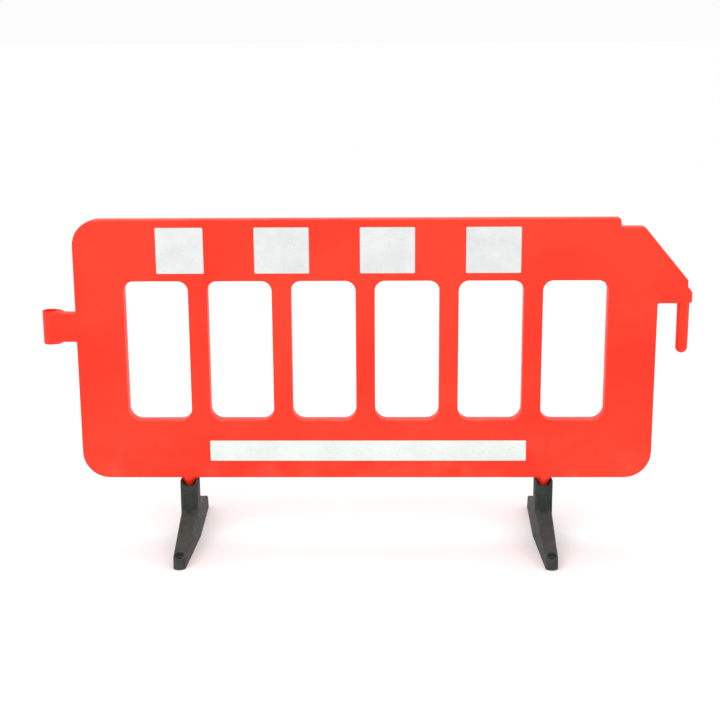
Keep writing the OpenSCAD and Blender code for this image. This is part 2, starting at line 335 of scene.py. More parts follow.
@dataclass(frozen=True)
class MouldedPlastic:
    """Satin orange-red polyethylene, with a fine mould grain, scuffs and a little dust."""

    name: str
    base: Colour = (0.86, 0.0250, 0.0060)
    faded: Colour = (0.89, 0.0400, 0.0125)
    scuff: Colour = (0.90, 0.120, 0.070)
    dust: Colour = (0.42, 0.19, 0.125)
    gloss_roughness: float = 0.40
    worn_roughness: float = 0.62

    def make(self) -> bpy.types.Material:
        """Builds the material."""
        desk = Desk(self.name)
        patches = desk.patch(2.6, 3.0, 0.34, 0.68)
        colour = desk.tint(patches, self.base, self.faded)
        mottle = desk.patch(38.0, 3.0, 0.30, 0.72, 0.965, 1.03)
        colour = desk.tint(1.0, colour, mottle, "MULTIPLY")
        long_marks = desk.cloud(42.0, 4.0, desk.spread((0.35, 1.0, 5.0), 0.35), 0.6)
        short_marks = desk.cloud(60.0, 4.0, desk.spread((4.5, 1.0, 0.5), -0.5), 0.6)
        marks = desk.most(desk.span(long_marks, 0.66, 0.76), desk.span(short_marks, 0.69, 0.78))
        where = desk.patch(4.5, 2.0, 0.50, 0.66)
        marks = desk.times(marks, where)
        edge = desk.times(desk.span(desk.wear(), 0.30, 0.85), desk.patch(55.0, 4.0, 0.42, 0.68))
        rubbed = desk.most(desk.times(marks, 0.30), desk.times(edge, 0.50))
        colour = desk.tint(rubbed, colour, self.scuff)
        grime = desk.times(desk.facing_up(), desk.patch(16.0, 5.0, 0.40, 0.75, 0.0, 0.30))
        splash = desk.times(desk.span(desk.height(), 0.42, 0.15),
                            desk.patch(11.0, 6.0, 0.45, 0.78, 0.0, 0.22))
        grime = desk.most(grime, splash)
        colour = desk.tint(grime, colour, self.dust)
        rough = desk.patch(8.0, 4.0, 0.30, 0.70, self.gloss_roughness - 0.05, self.gloss_roughness + 0.05)
        rough = desk.most(rough, desk.times(desk.most(rubbed, grime), self.worn_roughness * 1.6))
        desk.relief((desk.cloud(420.0, 2.0), 0.30, 0.25 * MM), (desk.cloud(26.0, 1.0), 0.35, 0.9 * MM),
                    (marks, 0.20, 0.2 * MM))
        return desk.settle(Base_Color=colour, Roughness=rough, Specular_IOR_Level=0.28)


@dataclass(frozen=True)
class BeadSheeting:
    """White retroreflective sheeting: glass beads under a clear film that has creased a little."""

    name: str
    bead: Colour
    shade: Colour
    # Colour of the real soil and edge wear, and also of the painted shade along the creases.
    soil_and_crease_shade: Colour = (0.50, 0.50, 0.48)

    def make(self) -> bpy.types.Material:
        """Builds the material."""
        desk = Desk(self.name)
        flow = desk.patch(14.0, 4.0, 0.32, 0.70)
        colour = desk.tint(flow, self.bead, self.shade)
        # Painted glints: each bead cell is made a little lighter or darker, as if some beads caught the
        # light.
        beads = desk.cells(700.0, "Color")
        painted_bead_glint = desk.span(beads, 0.20, 0.95, 0.94, 1.05)
        colour = desk.tint(1.0, colour, painted_bead_glint, "MULTIPLY")
        creases = desk.cloud(24.0, 5.0, desk.spread((0.6, 1.0, 2.6), 0.55), 0.62)
        from_middle = desk.count("ABSOLUTE", desk.count("SUBTRACT", creases, 0.5), 0.0)
        crease_lines = desk.span(from_middle, 0.020, 0.0)
        local = desk.patch(13.0, 2.0, 0.50, 0.64)
        crease_lines = desk.times(crease_lines, local)
        # Painted shade: thin lines along the creases are darkened towards the soil colour.
        colour = desk.tint(desk.times(crease_lines, 0.30), colour, self.soil_and_crease_shade)
        dirt = desk.times(desk.patch(48.0, 6.0, 0.60, 0.80), 0.20)
        edge = desk.times(desk.span(desk.wear(), 0.15, 0.9), 0.35)
        colour = desk.tint(desk.most(dirt, edge), colour, self.soil_and_crease_shade)
        rough = desk.patch(30.0, 3.0, 0.3, 0.7, 0.26, 0.42)
        desk.relief((desk.cells(520.0), 0.18, 0.12 * MM), (creases, 0.30, 0.7 * MM),
                    (crease_lines, 0.35, 0.25 * MM))
        return desk.settle(Base_Color=colour, Roughness=rough, Specular_IOR_Level=0.55,
                           Coat_Weight=0.25, Coat_Roughness=0.18)


SQUARE_SHEETING = BeadSheeting("square_sheeting", (0.700, 0.728, 0.722), (0.630, 0.665, 0.658))
STRIP_SHEETING = BeadSheeting("strip_sheeting", (0.760, 0.830, 0.795), (0.700, 0.770, 0.735))


@dataclass(frozen=True)
class MouldedRubber:
    """Black recycled rubber, with crumb showing in its skin and pale dust on its upper faces."""

    name: str = "foot_rubber"
    base: Colour = (0.0175, 0.0215, 0.0185)
    crumb: Colour = (0.038, 0.045, 0.039)
    dust: Colour = (0.058, 0.071, 0.060)

    def make(self) -> bpy.types.Material:
        """Builds the material."""
        desk = Desk(self.name)
        blotch = desk.patch(18.0, 4.0, 0.32, 0.70)
        colour = desk.tint(blotch, self.base, tuple(1.5 * c for c in self.base))
        grains = desk.span(desk.cells(330.0, "Color"), 0.72, 0.98)
        colour = desk.tint(desk.times(grains, 0.45), colour, self.crumb)
        top = desk.times(desk.facing_up(), desk.patch(30.0, 6.0, 0.25, 0.75, 0.30, 0.85))
        edge = desk.times(desk.span(desk.wear(), 0.25, 0.9),
                          desk.patch(70.0, 4.0, 0.35, 0.7, 0.15, 0.60))
        low = desk.times(desk.span(desk.height(), 0.060, 0.0),
                         desk.patch(45.0, 5.0, 0.35, 0.72, 0.10, 0.55))
        dusty = desk.most(desk.most(top, edge), low)
        colour = desk.tint(dusty, colour, self.dust)
        rough = desk.patch(60.0, 4.0, 0.3, 0.7, 0.62, 0.82)
        desk.relief((desk.cells(260.0), 0.45, 0.45 * MM), (desk.cloud(90.0, 5.0), 0.50, 0.6 * MM),
                    (desk.cloud(14.0, 2.0), 0.40, 1.6 * MM))
        return desk.settle(Base_Color=colour, Roughness=rough, Specular_IOR_Level=0.40)


@dataclass(frozen=True)
class PlatedMetal:
    """A plated or machined metal, with fine tool lines, stains and dulled patches."""

    name: str
    bright: Colour
    dull: Colour
    stain: Colour

    def make(self) -> bpy.types.Material:
        """Builds the material."""
        desk = Desk(self.name)
        colour = desk.tint(desk.patch(160.0, 5.0, 0.35, 0.70), self.bright, self.dull)
        stains = desk.times(desk.patch(75.0, 6.0, 0.54, 0.72), 0.7)
        colour = desk.tint(stains, colour, self.stain)
        tool_lines = desk.cloud(500.0, 2.0, desk.spread((0.25, 0.25, 6.0)))
        rough = desk.count("ADD", desk.span(tool_lines, 0.3, 0.7, 0.24, 0.40), desk.times(stains, 0.3))
        desk.relief((tool_lines, 0.20, 0.08 * MM), (desk.cloud(210.0, 3.0), 0.25, 0.15 * MM))
        return desk.settle(Base_Color=colour, Roughness=rough, Metallic=1.0)


ZINC = PlatedMetal("zinc_steel", (0.66, 0.68, 0.70), (0.46, 0.48, 0.50), (0.30, 0.24, 0.17))
BRASS = PlatedMetal("insert_metal", (0.78, 0.58, 0.27), (0.55, 0.40, 0.19), (0.23, 0.17, 0.10))


@dataclass(frozen=True)
class StudioPaper:
    """Pale seamless studio paper."""

    name: str = "studio_paper"
    tone: Colour = (0.95, 0.95, 0.95)
    shade: Colour = (0.93, 0.93, 0.93)
    glow: float = 0.09

    def make(self) -> bpy.types.Material:
        """Builds the material."""
        desk = Desk(self.name)
        colour = desk.tint(desk.patch(1.5, 3.0, 0.3, 0.7), self.tone, self.shade)
        return desk.settle(Base_Color=colour, Roughness=0.9, Specular_IOR_Level=0.1,
                           Emission_Color=self.tone, Emission_Strength=self.glow)


# ------------------------------------------------------------------------------------------ meshes


@dataclass(frozen=True)
class Corner:
    """One corner of an outline in the X-Z plane, and the radius that rounds it."""

    x: float
    z: float
    radius: float = 0.0


@dataclass(frozen=True)
class Outline:
    """A closed outline of straight runs and rounded corners, listed anticlockwise."""

    corners: tuple[Corner, ...]
    longest: float = 13 * MM
    sharpest: float = math.radians(9)

    def _arcs(self, inset: float) -> list[tuple[np.ndarray, np.ndarray, float]]:
        """Works out each corner's arc with the outline moved inwards.

        Args:
            inset: How far the outline moves inwards.

        Returns:
            Where each arc starts, its centre, and the angle that it turns through.
        """
        at = np.array([[c.x, c.z] for c in self.corners])
        ahead = np.roll(at, -1, axis=0) - at
        ahead /= np.linalg.norm(ahead, axis=1)[:, None]
        arcs = []
        for corner, place, before, after in zip(self.corners, at, np.roll(ahead, 1, axis=0), ahead):
            turn = math.atan2(before[0] * after[1] - before[1] * after[0], before @ after)
            inward = np.array([-before[1], before[0]])
            inward_after = np.array([-after[1], after[0]])
            apex = place + inset * (inward + inward_after) / (1 + inward @ inward_after)
            radius = max(corner.radius - math.copysign(inset, turn), SMALLEST_RADIUS)
            start = apex - radius * math.tan(abs(turn) / 2) * before
            arcs.append((start, start + math.copysign(radius, turn) * inward, turn))
        return arcs

    def ring(self, inset: float = 0.0) -> np.ndarray:
        """Gives the outline's points. Every inset gives the same number of points, in step.

        Args:
            inset: How far the ring lies inside the outline, or outside it where negative.

        Returns:
            One row of X and Z for each point.
        """
        plain, moved = self._arcs(0.0), self._arcs(inset)
        points: list[np.ndarray] = []
        for i, (start, centre, turn) in enumerate(moved):
            steps = max(2, math.ceil(abs(turn) / self.sharpest))
            points.extend(self._swung(start, centre, turn * k / steps) for k in range(steps + 1))
            following = (i + 1) % len(moved)
            run = np.linalg.norm(plain[following][0] - self._swung(*plain[i]))
            pieces = max(1, math.ceil(run / self.longest))
            first, last = points[-1], moved[following][0]
            points.extend(first + (last - first) * k / pieces for k in range(1, pieces))
        return np.array(points)

    @staticmethod
    def _swung(start: np.ndarray, centre: np.ndarray, turn: float) -> np.ndarray:
        """Gives a point turned about a centre.

        Args:
            start: The point before the turn.
            centre: What it turns about.
            turn: The angle, in radians.

        Returns:
            The point after the turn.
        """
        c, s = math.cos(turn), math.sin(turn)
        arm = start - centre
        return centre + np.array([c * arm[0] - s * arm[1], s * arm[0] + c * arm[1]])

    @classmethod
    def box(cls, x0: float, x1: float, z0: float, z1: float, low: float, high: float,
            longest: float = 13 * MM) -> "Outline":
        """Makes a rectangle with rounded corners.

        Args:
            x0: Its left side.
            x1: Its right side.
            z0: Its bottom.
            z1: Its top.
            low: The radius of the bottom corners.
            high: The radius of the top corners.
            longest: The longest straight piece between points.

        Returns:
            The outline.
        """
        corners = (Corner(x0, z0, low), Corner(x1, z0, low), Corner(x1, z1, high), Corner(x0, z1, high))
        return cls(corners, longest)


def inside(points: np.ndarray, loop: np.ndarray) -> np.ndarray:
    """Tests which points lie inside a closed loop.

    Args:
        points: One row of X and Z for each point.
        loop: The loop's points in order.

    Returns:
        True for each point that lies inside.
    """
    found = np.zeros(len(points), bool)
    x, z = points[:, 0], points[:, 1]
    for (x0, z0), (x1, z1) in zip(loop, np.roll(loop, -1, axis=0)):
        if z0 != z1:
            crosses = (z0 > z) != (z1 > z)
            found ^= crosses & (x < (x1 - x0) * (z - z0) / (z1 - z0) + x0)
    return found


def clear_of(points: np.ndarray, loop: np.ndarray, gap: float) -> np.ndarray:
    """Tests which points lie at least a gap away from a closed loop.

    Args:
        points: One row of X and Z for each point.
        loop: The loop's points in order.
        gap: The smallest distance allowed.

    Returns:
        True for each point that is far enough away.
    """
    kept = np.ones(len(points), bool)
    for start, end in zip(loop, np.roll(loop, -1, axis=0)):
        along = end - start
        share = np.clip((points - start) @ along / max(along @ along, 1e-12), 0, 1)
        kept &= np.linalg.norm(points - start - share[:, None] * along, axis=1) > gap
    return kept


class Draft:
    """Points and faces gathered into one closed mesh."""

    def __init__(self) -> None:
        """Starts with nothing."""
        self.points: list[tuple[float, float, float]] = []
        self.faces: list[tuple[int, ...]] = []

    def add(self, points: Iterable[Sequence[float]]) -> list[int]:
        """Adds points.

        Args:
            points: The points' X, Y and Z.

        Returns:
            The new points' numbers.
        """
        first = len(self.points)
        self.points.extend(tuple(float(v) for v in p) for p in points)
        return list(range(first, len(self.points)))

    def bridge(self, first: Sequence[int], second: Sequence[int], flip: bool = False) -> None:
        """Joins two closed rings of the same length with quads.

        Args:
            first: One ring.
            second: The other ring.
            flip: Whether the faces look the other way.
        """
        for k in range(len(first)):
            n = (k + 1) % len(first)
            quad = (first[k], first[n], second[n], second[k])
            self.faces.append(quad[::-1] if flip else quad)

    def mesh(self, name: str) -> bpy.types.Mesh:
        """Gives the finished mesh."""
        made = bpy.data.meshes.new(name)
        made.from_pydata(self.points, [], self.faces)
        made.validate()
        return made


@dataclass
class Plate:
    """A plate with rounded edges and windows, lying in the X-Z plane and centred on Y = 0."""

    outline: Outline
    half: float
    edge_radius: float
    windows: tuple[Outline, ...] = ()
    window_radius: float = 3.2 * MM
    draft: float = 0.1 * MM
    ridge: float = 0.2 * MM
    spacing: float = 13 * MM
    recesses: tuple[Outline, ...] = ()
    recess_depth: float = 0.0
    recess_slope: float = 0.5 * MM
    extra_points: tuple[tuple[float, float], ...] = ()
    edge_steps: int = 4
    settle_width: float = 2 * MM

    def _profile(self, radius: float, sign: int) -> list[tuple[float, float]]:
        """Gives the edge's profile from the middle of the rim to the face.

        Args:
            radius: The radius of the rounded edge.
            sign: 1 for the outer edge, and -1 for a window's.

        Returns:
            The inset and the distance from the middle plane of each ring.
        """
        shape = [(0.0, 0.0), (self.ridge, 2 * self.ridge), (self.ridge + self.draft, self.half - radius)]
        for k in range(1, self.edge_steps + 1):
            angle = math.pi / 2 * k / self.edge_steps
            inset = self.ridge + self.draft + radius * (1 - math.cos(angle))
            shape.append((inset, self.half - radius + radius * math.sin(angle)))
        shape.append((shape[-1][0] + self.settle_width, self.half))
        return [(sign * inset, depth) for inset, depth in shape]

    def _grid(self) -> np.ndarray:
        """Gives a staggered grid of points over the plate's whole box."""
        ring = self.outline.ring()
        (x0, z0), (x1, z1) = ring.min(axis=0), ring.max(axis=0)
        rows = []
        for k, z in enumerate(np.arange(z0, z1, self.spacing * math.sqrt(3) / 2)):
            x = np.arange(x0 + (k % 2) * self.spacing / 2, x1, self.spacing)
            rows.append(np.stack([x, np.full_like(x, z)], axis=1))
        return np.concatenate(rows)

    def mesh(self, name: str, thin: Callable[[float, float, int], float]) -> bpy.types.Mesh:
        """Builds the plate.

        Args:
            name: The mesh's name.
            thin: Gives the local half thickness, as a share of half, from X, Z and the face's sign.

        Returns:
            The closed mesh.
        """
        draft = Draft()
        edges = [(self.outline, self._profile(self.edge_radius, 1), False)]
        edges += [(w, self._profile(self.window_radius, -1), True) for w in self.windows]
        rims: list[tuple[np.ndarray, list[int], list[int]]] = []
        for outline, profile, is_hole in edges:
            middle = draft.add((x, 0.0, z) for x, z in outline.ring(profile[0][0]))
            front, back = middle, middle
            for inset, depth in profile[1:]:
                ring = outline.ring(inset)
                next_front = draft.add((x, -depth, z) for x, z in ring)
                next_back = draft.add((x, depth, z) for x, z in ring)
                draft.bridge(front, next_front, is_hole)
                draft.bridge(back, next_back, not is_hole)
                front, back = next_front, next_back
            rims.append((ring, front, back))
        self._fill(draft, rims)
        for k, (x, y, z) in enumerate(draft.points):
            draft.points[k] = (x, y * thin(x, z, 1 if y > 0 else -1), z)
        return draft.mesh(name)

    def _fill(self, draft: Draft, rims: list[tuple[np.ndarray, list[int], list[int]]]) -> None:
        """Fills both faces between the rims, with the recesses sunk into them.

        Args:
            draft: The mesh being built.
            rims: Each rim's ring, with its point numbers on the front and on the back.
        """
        loops = [ring for ring, _, _ in rims]
        tops = [r.ring(-self.recess_slope) for r in self.recesses]
        floors = [r.ring(0.0) for r in self.recesses]
        loops += tops + floors
        free = np.concatenate([self._grid(), np.array(self.extra_points).reshape(-1, 2)])
        free = free[inside(free, loops[0])]
        for ring, _, _ in rims[1:]:
            free = free[~inside(free, ring)]
        for loop in loops:
            free = free[clear_of(free, loop, 0.3 * self.spacing)]
        points = np.concatenate([*loops, free])
        sunk = np.zeros(len(points), bool)
        links, first = [], 0
        for loop in loops:
            count = len(loop)
            links += [(first + k, first + (k + 1) % count) for k in range(count)]
            first += count
        floor_start = sum(len(loop) for loop in loops[: len(rims) + len(tops)])
        sunk[floor_start:first] = True
        for loop in floors:
            sunk[first:] |= inside(points[first:], loop)
        flat, _, triangles, source, _, _ = delaunay_2d_cdt(
            [Vector(p) for p in points], links, [], 1, 1e-7)
        triangles = self._solid_only(np.array([tuple(v) for v in flat]), triangles, rims)
        numbers = {0: {}, 1: {}}
        start = 0
        for ring, front, back in rims:
            for k in range(len(ring)):
                numbers[0][start + k], numbers[1][start + k] = front[k], back[k]
            start += len(ring)
        origin = [min(s) for s in source]
        for which, sign in ((0, -1), (1, 1)):
            known = numbers[which]
            for k, vertex in enumerate(flat):
                if origin[k] not in known:
                    depth = self.half - (self.recess_depth if sunk[origin[k]] else 0.0)
                    known[origin[k]] = draft.add([(vertex.x, sign * depth, vertex.y)])[0]
            for triangle in triangles:
                face = tuple(known[origin[v]] for v in triangle)
                draft.faces.append(face if sign < 0 else face[::-1])

    @staticmethod
    def _solid_only(flat: np.ndarray, triangles: list, rims: list) -> list:
        """Drops the triangles that lie outside the plate or in its windows.

        Args:
            flat: The points of the filled face.
            triangles: The triangles over them.
            rims: Each rim's ring, first the outer one.

        Returns:
            The triangles that lie in the plate, all anticlockwise.
        """
        centres = np.array([flat[list(t)].mean(axis=0) for t in triangles])
        keep = inside(centres, rims[0][0])
        for ring, _, _ in rims[1:]:
            keep &= ~inside(centres, ring)
        solid = []
        for triangle, kept in zip(triangles, keep):
            if kept:
                a, b, c = (flat[v] for v in triangle)
                turn = (b[0] - a[0]) * (c[1] - a[1]) - (b[1] - a[1]) * (c[0] - a[0])
                solid.append(tuple(triangle) if turn > 0 else tuple(triangle)[::-1])
        return solid


def turned(profile: Sequence[tuple[float, float]], centre: tuple[float, float], segments: int = 96,
           trim: Trim | None = None) -> Draft:
    """Turns a profile about an upright axis into a closed solid.

    Args:
        profile: Radius and height of each ring, from the bottom up. A first or last radius of zero
            closes that end with a point, and otherwise the profile runs round as a closed loop.
        centre: The axis's X and Y.
        segments: How many steps make the full turn.
        trim: Gives the radius at an angle from the angle, the plain radius and the height.

    Returns:
        The solid.
    """
    draft = Draft()
    angles = [2 * math.pi * k / segments for k in range(segments)]
    rings: list[list[int]] = []
    for radius, height in profile:
        if radius == 0.0:
            rings.append(draft.add([(centre[0], centre[1], height)]))
            continue
        spokes = [trim(a, radius, height) if trim else radius for a in angles]
        rings.append(draft.add((centre[0] + r * math.cos(a), centre[1] + r * math.sin(a), height)
                               for r, a in zip(spokes, angles)))
    is_loop = len(rings[0]) > 1 and len(rings[-1]) > 1
    pairs = list(zip(rings, rings[1:]))
    if is_loop:
        pairs.append((rings[-1], rings[0]))
    for low, high in pairs:
        if len(low) == 1:
            draft.faces += [(low[0], high[(k + 1) % segments], high[k]) for k in range(segments)]
        elif len(high) == 1:
            draft.faces += [(high[0], low[k], low[(k + 1) % segments]) for k in range(segments)]
        else:
            draft.bridge(low, high)
    return draft


def bored(radius: float, z0: float, z1: float) -> list[tuple[float, float]]:
    """Gives the profile of a plain round cutter from one height to another."""
    return [(0.0, z0), (radius, z0), (radius, z1), (0.0, z1)]


def softened(points: Sequence[tuple[float, float]], radius: float,
             steps: int = 4) -> list[tuple[float, float]]:
    """Rounds the inner corners of an open profile.

    Args:
        points: The profile's corners, as radius and height.
        radius: The rounding radius, limited by the neighbouring runs.
        steps: How many pieces make each rounding.

    Returns:
        The rounded profile, with its first and last points as they were.
    """
    out = [points[0]]
    for before, here, after in zip(points, points[1:], points[2:]):
        back, on = np.subtract(before, here), np.subtract(after, here)
        back_run, on_run = np.linalg.norm(back), np.linalg.norm(on)
        reach = min(radius, 0.45 * back_run, 0.45 * on_run)
        start, end = np.array(here) + back / back_run * reach, np.array(here) + on / on_run * reach
        for k in range(steps + 1):
            t = k / steps
            point = (1 - t) ** 2 * start + 2 * t * (1 - t) * np.array(here) + t * t * end
            out.append((float(point[0]), float(point[1])))
    out.append(points[-1])
    return out


def merged(parts: Iterable[Draft]) -> Draft:
    """Puts several separate solids into one draft."""
    whole = Draft()
    for part in parts:
        first = len(whole.points)
        whole.points += part.points
        whole.faces += [tuple(v + first for v in face) for face in part.faces]
    return whole


def applied(holder: bpy.types.Object) -> bpy.types.Mesh:
    """Gives an object's mesh with its modifiers applied, and removes the object.

    Args:
        holder: The object, which is used up.

    Returns:
        The new mesh.
    """
    graph = bpy.context.evaluated_depsgraph_get()
    made = bpy.data.meshes.new_from_object(holder.evaluated_get(graph), depsgraph=graph)
    made.name = holder.name
    bpy.data.objects.remove(holder)
    return made


def held(mesh: bpy.types.Mesh, name: str) -> bpy.types.Object:
    """Puts a mesh in a new object in the scene."""
    holder = bpy.data.objects.new(name, mesh)
    bpy.context.scene.collection.objects.link(holder)
    return holder


def carved(mesh: bpy.types.Mesh, tool: Draft, cut: Cut) -> bpy.types.Mesh:
    """Joins a tool to a mesh, or removes it.

    Args:
        mesh: The mesh to work on.
        tool: The other solid.
        cut: What to do with it.

    Returns:
        The new mesh.
    """
    holder = held(mesh, mesh.name)
    cutter = held(tool.mesh("tool"), "tool")
    modifier = holder.modifiers.new("cut", "BOOLEAN")
    modifier.operation = cut.value
    modifier.solver = "EXACT"
    modifier.object = cutter
    made = applied(holder)
    bpy.data.objects.remove(cutter)
    return made


def mark_wear(mesh: bpy.types.Mesh, passes: int = 2, full: float = 0.16) -> None:
    """Stores, as the attribute wear, how far each point stands out from its neighbours.

    Args:
        mesh: The mesh to mark.
        passes: How many times the result is spread to neighbours.
        full: The bend between neighbours that counts as a full edge.
    """
    count = len(mesh.vertices)
    points, normals = np.empty(count * 3), np.empty(count * 3)
    mesh.vertices.foreach_get("co", points)
    mesh.vertices.foreach_get("normal", normals)
    points, normals = points.reshape(-1, 3), normals.reshape(-1, 3)
    ends = np.empty(len(mesh.edges) * 2, np.int32)
    mesh.edges.foreach_get("vertices", ends)
    a, b = ends.reshape(-1, 2).T
    along = points[b] - points[a]
    along /= np.maximum(np.linalg.norm(along, axis=1), 1e-9)[:, None]
    near = np.maximum(np.bincount(a, minlength=count) + np.bincount(b, minlength=count), 1)
    bend = (np.bincount(a, -(along * normals[a]).sum(1), count)
            + np.bincount(b, (along * normals[b]).sum(1), count))
    value = np.clip(bend / near / full, 0, 1)
    for _ in range(passes):
        value = 0.5 * value + 0.5 * (np.bincount(a, value[b], count) + np.bincount(b, value[a], count)) / near
    mesh.attributes.new("wear", "FLOAT", "POINT").data.foreach_set("value", value.astype(np.float32))


def shown(mesh: bpy.types.Mesh, name: str, body: str, slot: str, finish: bpy.types.Material,
          stands_for: str, sharp: float = 34.0) -> bpy.types.Object:
    """Makes a finished piece of the barrier from a mesh.

    Args:
        mesh: The piece's mesh.
        name: The piece's name.
        body: The body that it rides on.
        slot: The record's material slot; not used.
        finish: Its material.
        stands_for: The node that it replaces.
        sharp: Edges that turn by more than this many degrees stay sharp.

    Returns:
        The new piece.
    """
    mesh.materials.clear()
    mesh.materials.append(finish)
    mesh.shade_smooth()
    mesh.set_sharp_from_angle(angle=math.radians(sharp))
    mark_wear(mesh)
    piece = held(mesh, name)
    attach(piece, body)
    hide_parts(stands_for)
    LOG.info("%s: %d faces on %s, for %s", name, len(mesh.polygons), body, stands_for)
    return piece


def sheet_nodes(face: Face) -> tuple[str, ...]:
    """Gives the names of the sheets on a face: the squares from left to right, and then the strip."""
    name = face.name.lower()
    return (*(f"{name}_sheet_{number}" for number in range(1, SQUARE_SHEETS + 1)), f"{name}_strip")


def eased(value: float) -> float:
    """Gives a smooth step from 0 to 1 as the value goes from 0 to 1."""
    value = min(max(value, 0.0), 1.0)
    return value * value * (3 - 2 * value)


# ------------------------------------------------------------------------------------ sub-assemblies


@dataclass
class Panel:
    """The blow-moulded panel, with its coupling eye, nose, knuckle and foot bosses."""

    body: str = "panel_body"
    length: float = 1786 * MM
    height: float = 818 * MM
    thickness: float = 50 * MM
    edge_radius: float = 4.5 * MM
    top_corner: float = 80 * MM
    low_corner: float = 84 * MM
    crease_radius: float = 5 * MM
    window_count: int = 6
    bar_width: float = 59 * MM
    end_width: float = 151.5 * MM
    top_band: float = 189.5 * MM
    low_band: float = 186.5 * MM
    window_top_radius: float = 32 * MM
    window_low_radius: float = 39 * MM
    rail_setback: float = 119 * MM
    rail_lean: float = 2 * MM
    shoulder_drop: float = 27 * MM
    shoulder_length: float = 72 * MM
    shoulder_radius: float = 9 * MM
    nose_reach: float = 90 * MM
    lip_height: float = 14 * MM
    arm_drop: float = 262 * MM
    knuckle_radius: float = 26.5 * MM
    knuckle_height: float = 58 * MM
    knuckle_inset: float = 13 * MM
    knuckle_base: float = 15 * MM
    pin_reach: float = 81.5 * MM
    socket_radius: float = 15 * MM
    socket_height: float = 35 * MM
    eye_radius: float = 25 * MM
    eye_bore: float = 20.5 * MM
    eye_height: float = 106 * MM
    eye_reach: float = 81 * MM
    coupling_gap: float = 19 * MM
    neck_setback: float = 4 * MM
    neck_step: float = 8 * MM
    neck_flare: float = 16 * MM
    boss_radius: float = 28 * MM
    boss_height: float = 27 * MM
    spigot_radius: float = 14 * MM
    spigot_length: float = 27 * MM
    insert_radius: float = 9 * MM
    insert_length: float = 40 * MM
    drain_radius: float = 5 * MM
    seat_depth: float = 1 * MM
    seat_margin: float = 0.8 * MM
    sheet_corner: float = 4 * MM
    mould_mark: tuple[float, float] = (61 * MM, 153 * MM)
    mark_radius: float = 10 * MM
    mark_depth: float = 1.1 * MM
    eye_relief: float = 1 * MM
    skin_blend: float = 8 * MM
    skin_start: float = 1 * MM
    wide_wave: float = 4.0
    fine_wave: float = 15.0
    wide_sink: float = 0.32 * MM
    fine_sink: float = 0.10 * MM
    boss_bury: float = 7 * MM
    boss_inset: float = 0.9 * MM
    boss_squareness: float = 26.0
    bore_lead: float = 2.5 * MM
    bore_over: float = 4 * MM
    x0: float = field(init=False)
    x1: float = field(init=False)
    z0: float = field(init=False)
    z1: float = field(init=False)
    eye_x: float = field(init=False)
    pin_x: float = field(init=False)
    arm_z0: float = field(init=False)
    eye_z0: float = field(init=False)
    eye_z1: float = field(init=False)
    neck_z0: float = field(init=False)
    neck_z1: float = field(init=False)
    rail_x1: float = field(init=False)
    shoulder_x1: float = field(init=False)
    shoulder_z: float = field(init=False)
    nose_x1: float = field(init=False)
    nose_z1: float = field(init=False)
    knuckle_z1: float = field(init=False)
    slope: float = field(init=False)
    foot_places: dict[Side, float] = field(init=False)

    def __post_init__(self) -> None:
        """Takes the panel's places from the frame."""
        low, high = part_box("panel")
        self.x0 = low.x + self.eye_radius + self.eye_reach
        self.x1 = self.x0 + self.length
        self.z1 = high.z
        self.z0 = self.z1 - self.height
        self.eye_x = self.x0 - self.eye_reach
        self.pin_x = self.x1 + self.pin_reach
        self.arm_z0 = self.z1 - self.arm_drop
        self.eye_z1 = self.arm_z0 - self.coupling_gap
        self.eye_z0 = self.eye_z1 - self.eye_height
        self.neck_z0, self.neck_z1 = self.eye_z0 + self.neck_step, self.eye_z1 - self.neck_step
        self.rail_x1 = self.x1 - self.rail_setback
        self.shoulder_x1 = self.rail_x1 + self.shoulder_length
        self.shoulder_z = self.z1 - self.shoulder_drop
        self.nose_x1 = self.x1 + self.nose_reach
        self.knuckle_z1 = self.arm_z0 + self.knuckle_height
        self.nose_z1 = self.knuckle_z1 + self.lip_height
        self.slope = math.atan2(self.shoulder_z - self.nose_z1, self.nose_x1 - self.shoulder_x1)
        self.foot_places = {side: self._middle(f"{side.name.lower()}_bolt") for side in Side}

    @staticmethod
    def _middle(node: str) -> float:
        """Gives the X of a node's middle."""
        low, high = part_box(node)
        return (low.x + high.x) / 2

    def silhouette(self) -> Outline:
        """Gives the moulding's outline, from the bottom left corner round."""
        crease = self.crease_radius
        return Outline((
            Corner(self.x0, self.z0, self.low_corner),
            Corner(self.x1, self.z0, self.low_corner),
            Corner(self.x1, self.arm_z0, crease),
            Corner(self.nose_x1, self.arm_z0, crease / 2),
            Corner(self.nose_x1, self.nose_z1, crease / 3),
            Corner(self.shoulder_x1, self.shoulder_z, self.shoulder_radius),
            Corner(self.rail_x1 + self.rail_lean, self.shoulder_z, crease),
            Corner(self.rail_x1 - self.rail_lean, self.z1, crease),
            Corner(self.x0, self.z1, self.top_corner),
            Corner(self.x0, self.neck_z1, crease),
            Corner(self.eye_x + self.eye_radius + self.neck_flare, self.neck_z1, 2 * crease),
            Corner(self.eye_x + self.eye_radius, self.eye_z1 - self.eye_relief, 2 * crease),
            Corner(self.eye_x, self.eye_z1 - self.eye_relief, crease),
            Corner(self.eye_x, self.eye_z0 + self.eye_relief, crease),
            Corner(self.eye_x + self.eye_radius, self.eye_z0 + self.eye_relief, 2 * crease),
            Corner(self.eye_x + self.eye_radius + self.neck_flare, self.neck_z0, 2 * crease),
            Corner(self.x0, self.neck_z0, crease),
        ))

    def windows(self) -> tuple[Outline, ...]:
        """Gives the windows' outlines."""
        bars = (self.window_count - 1) * self.bar_width
        width = (self.length - 2 * self.end_width - bars) / self.window_count
        low, high = self.z0 + self.low_band, self.z1 - self.top_band
        starts = [self.x0 + self.end_width + k * (width + self.bar_width) for k in range(self.window_count)]
        return tuple(Outline.box(x, x + width, low, high, self.window_low_radius, self.window_top_radius)
                     for x in starts)

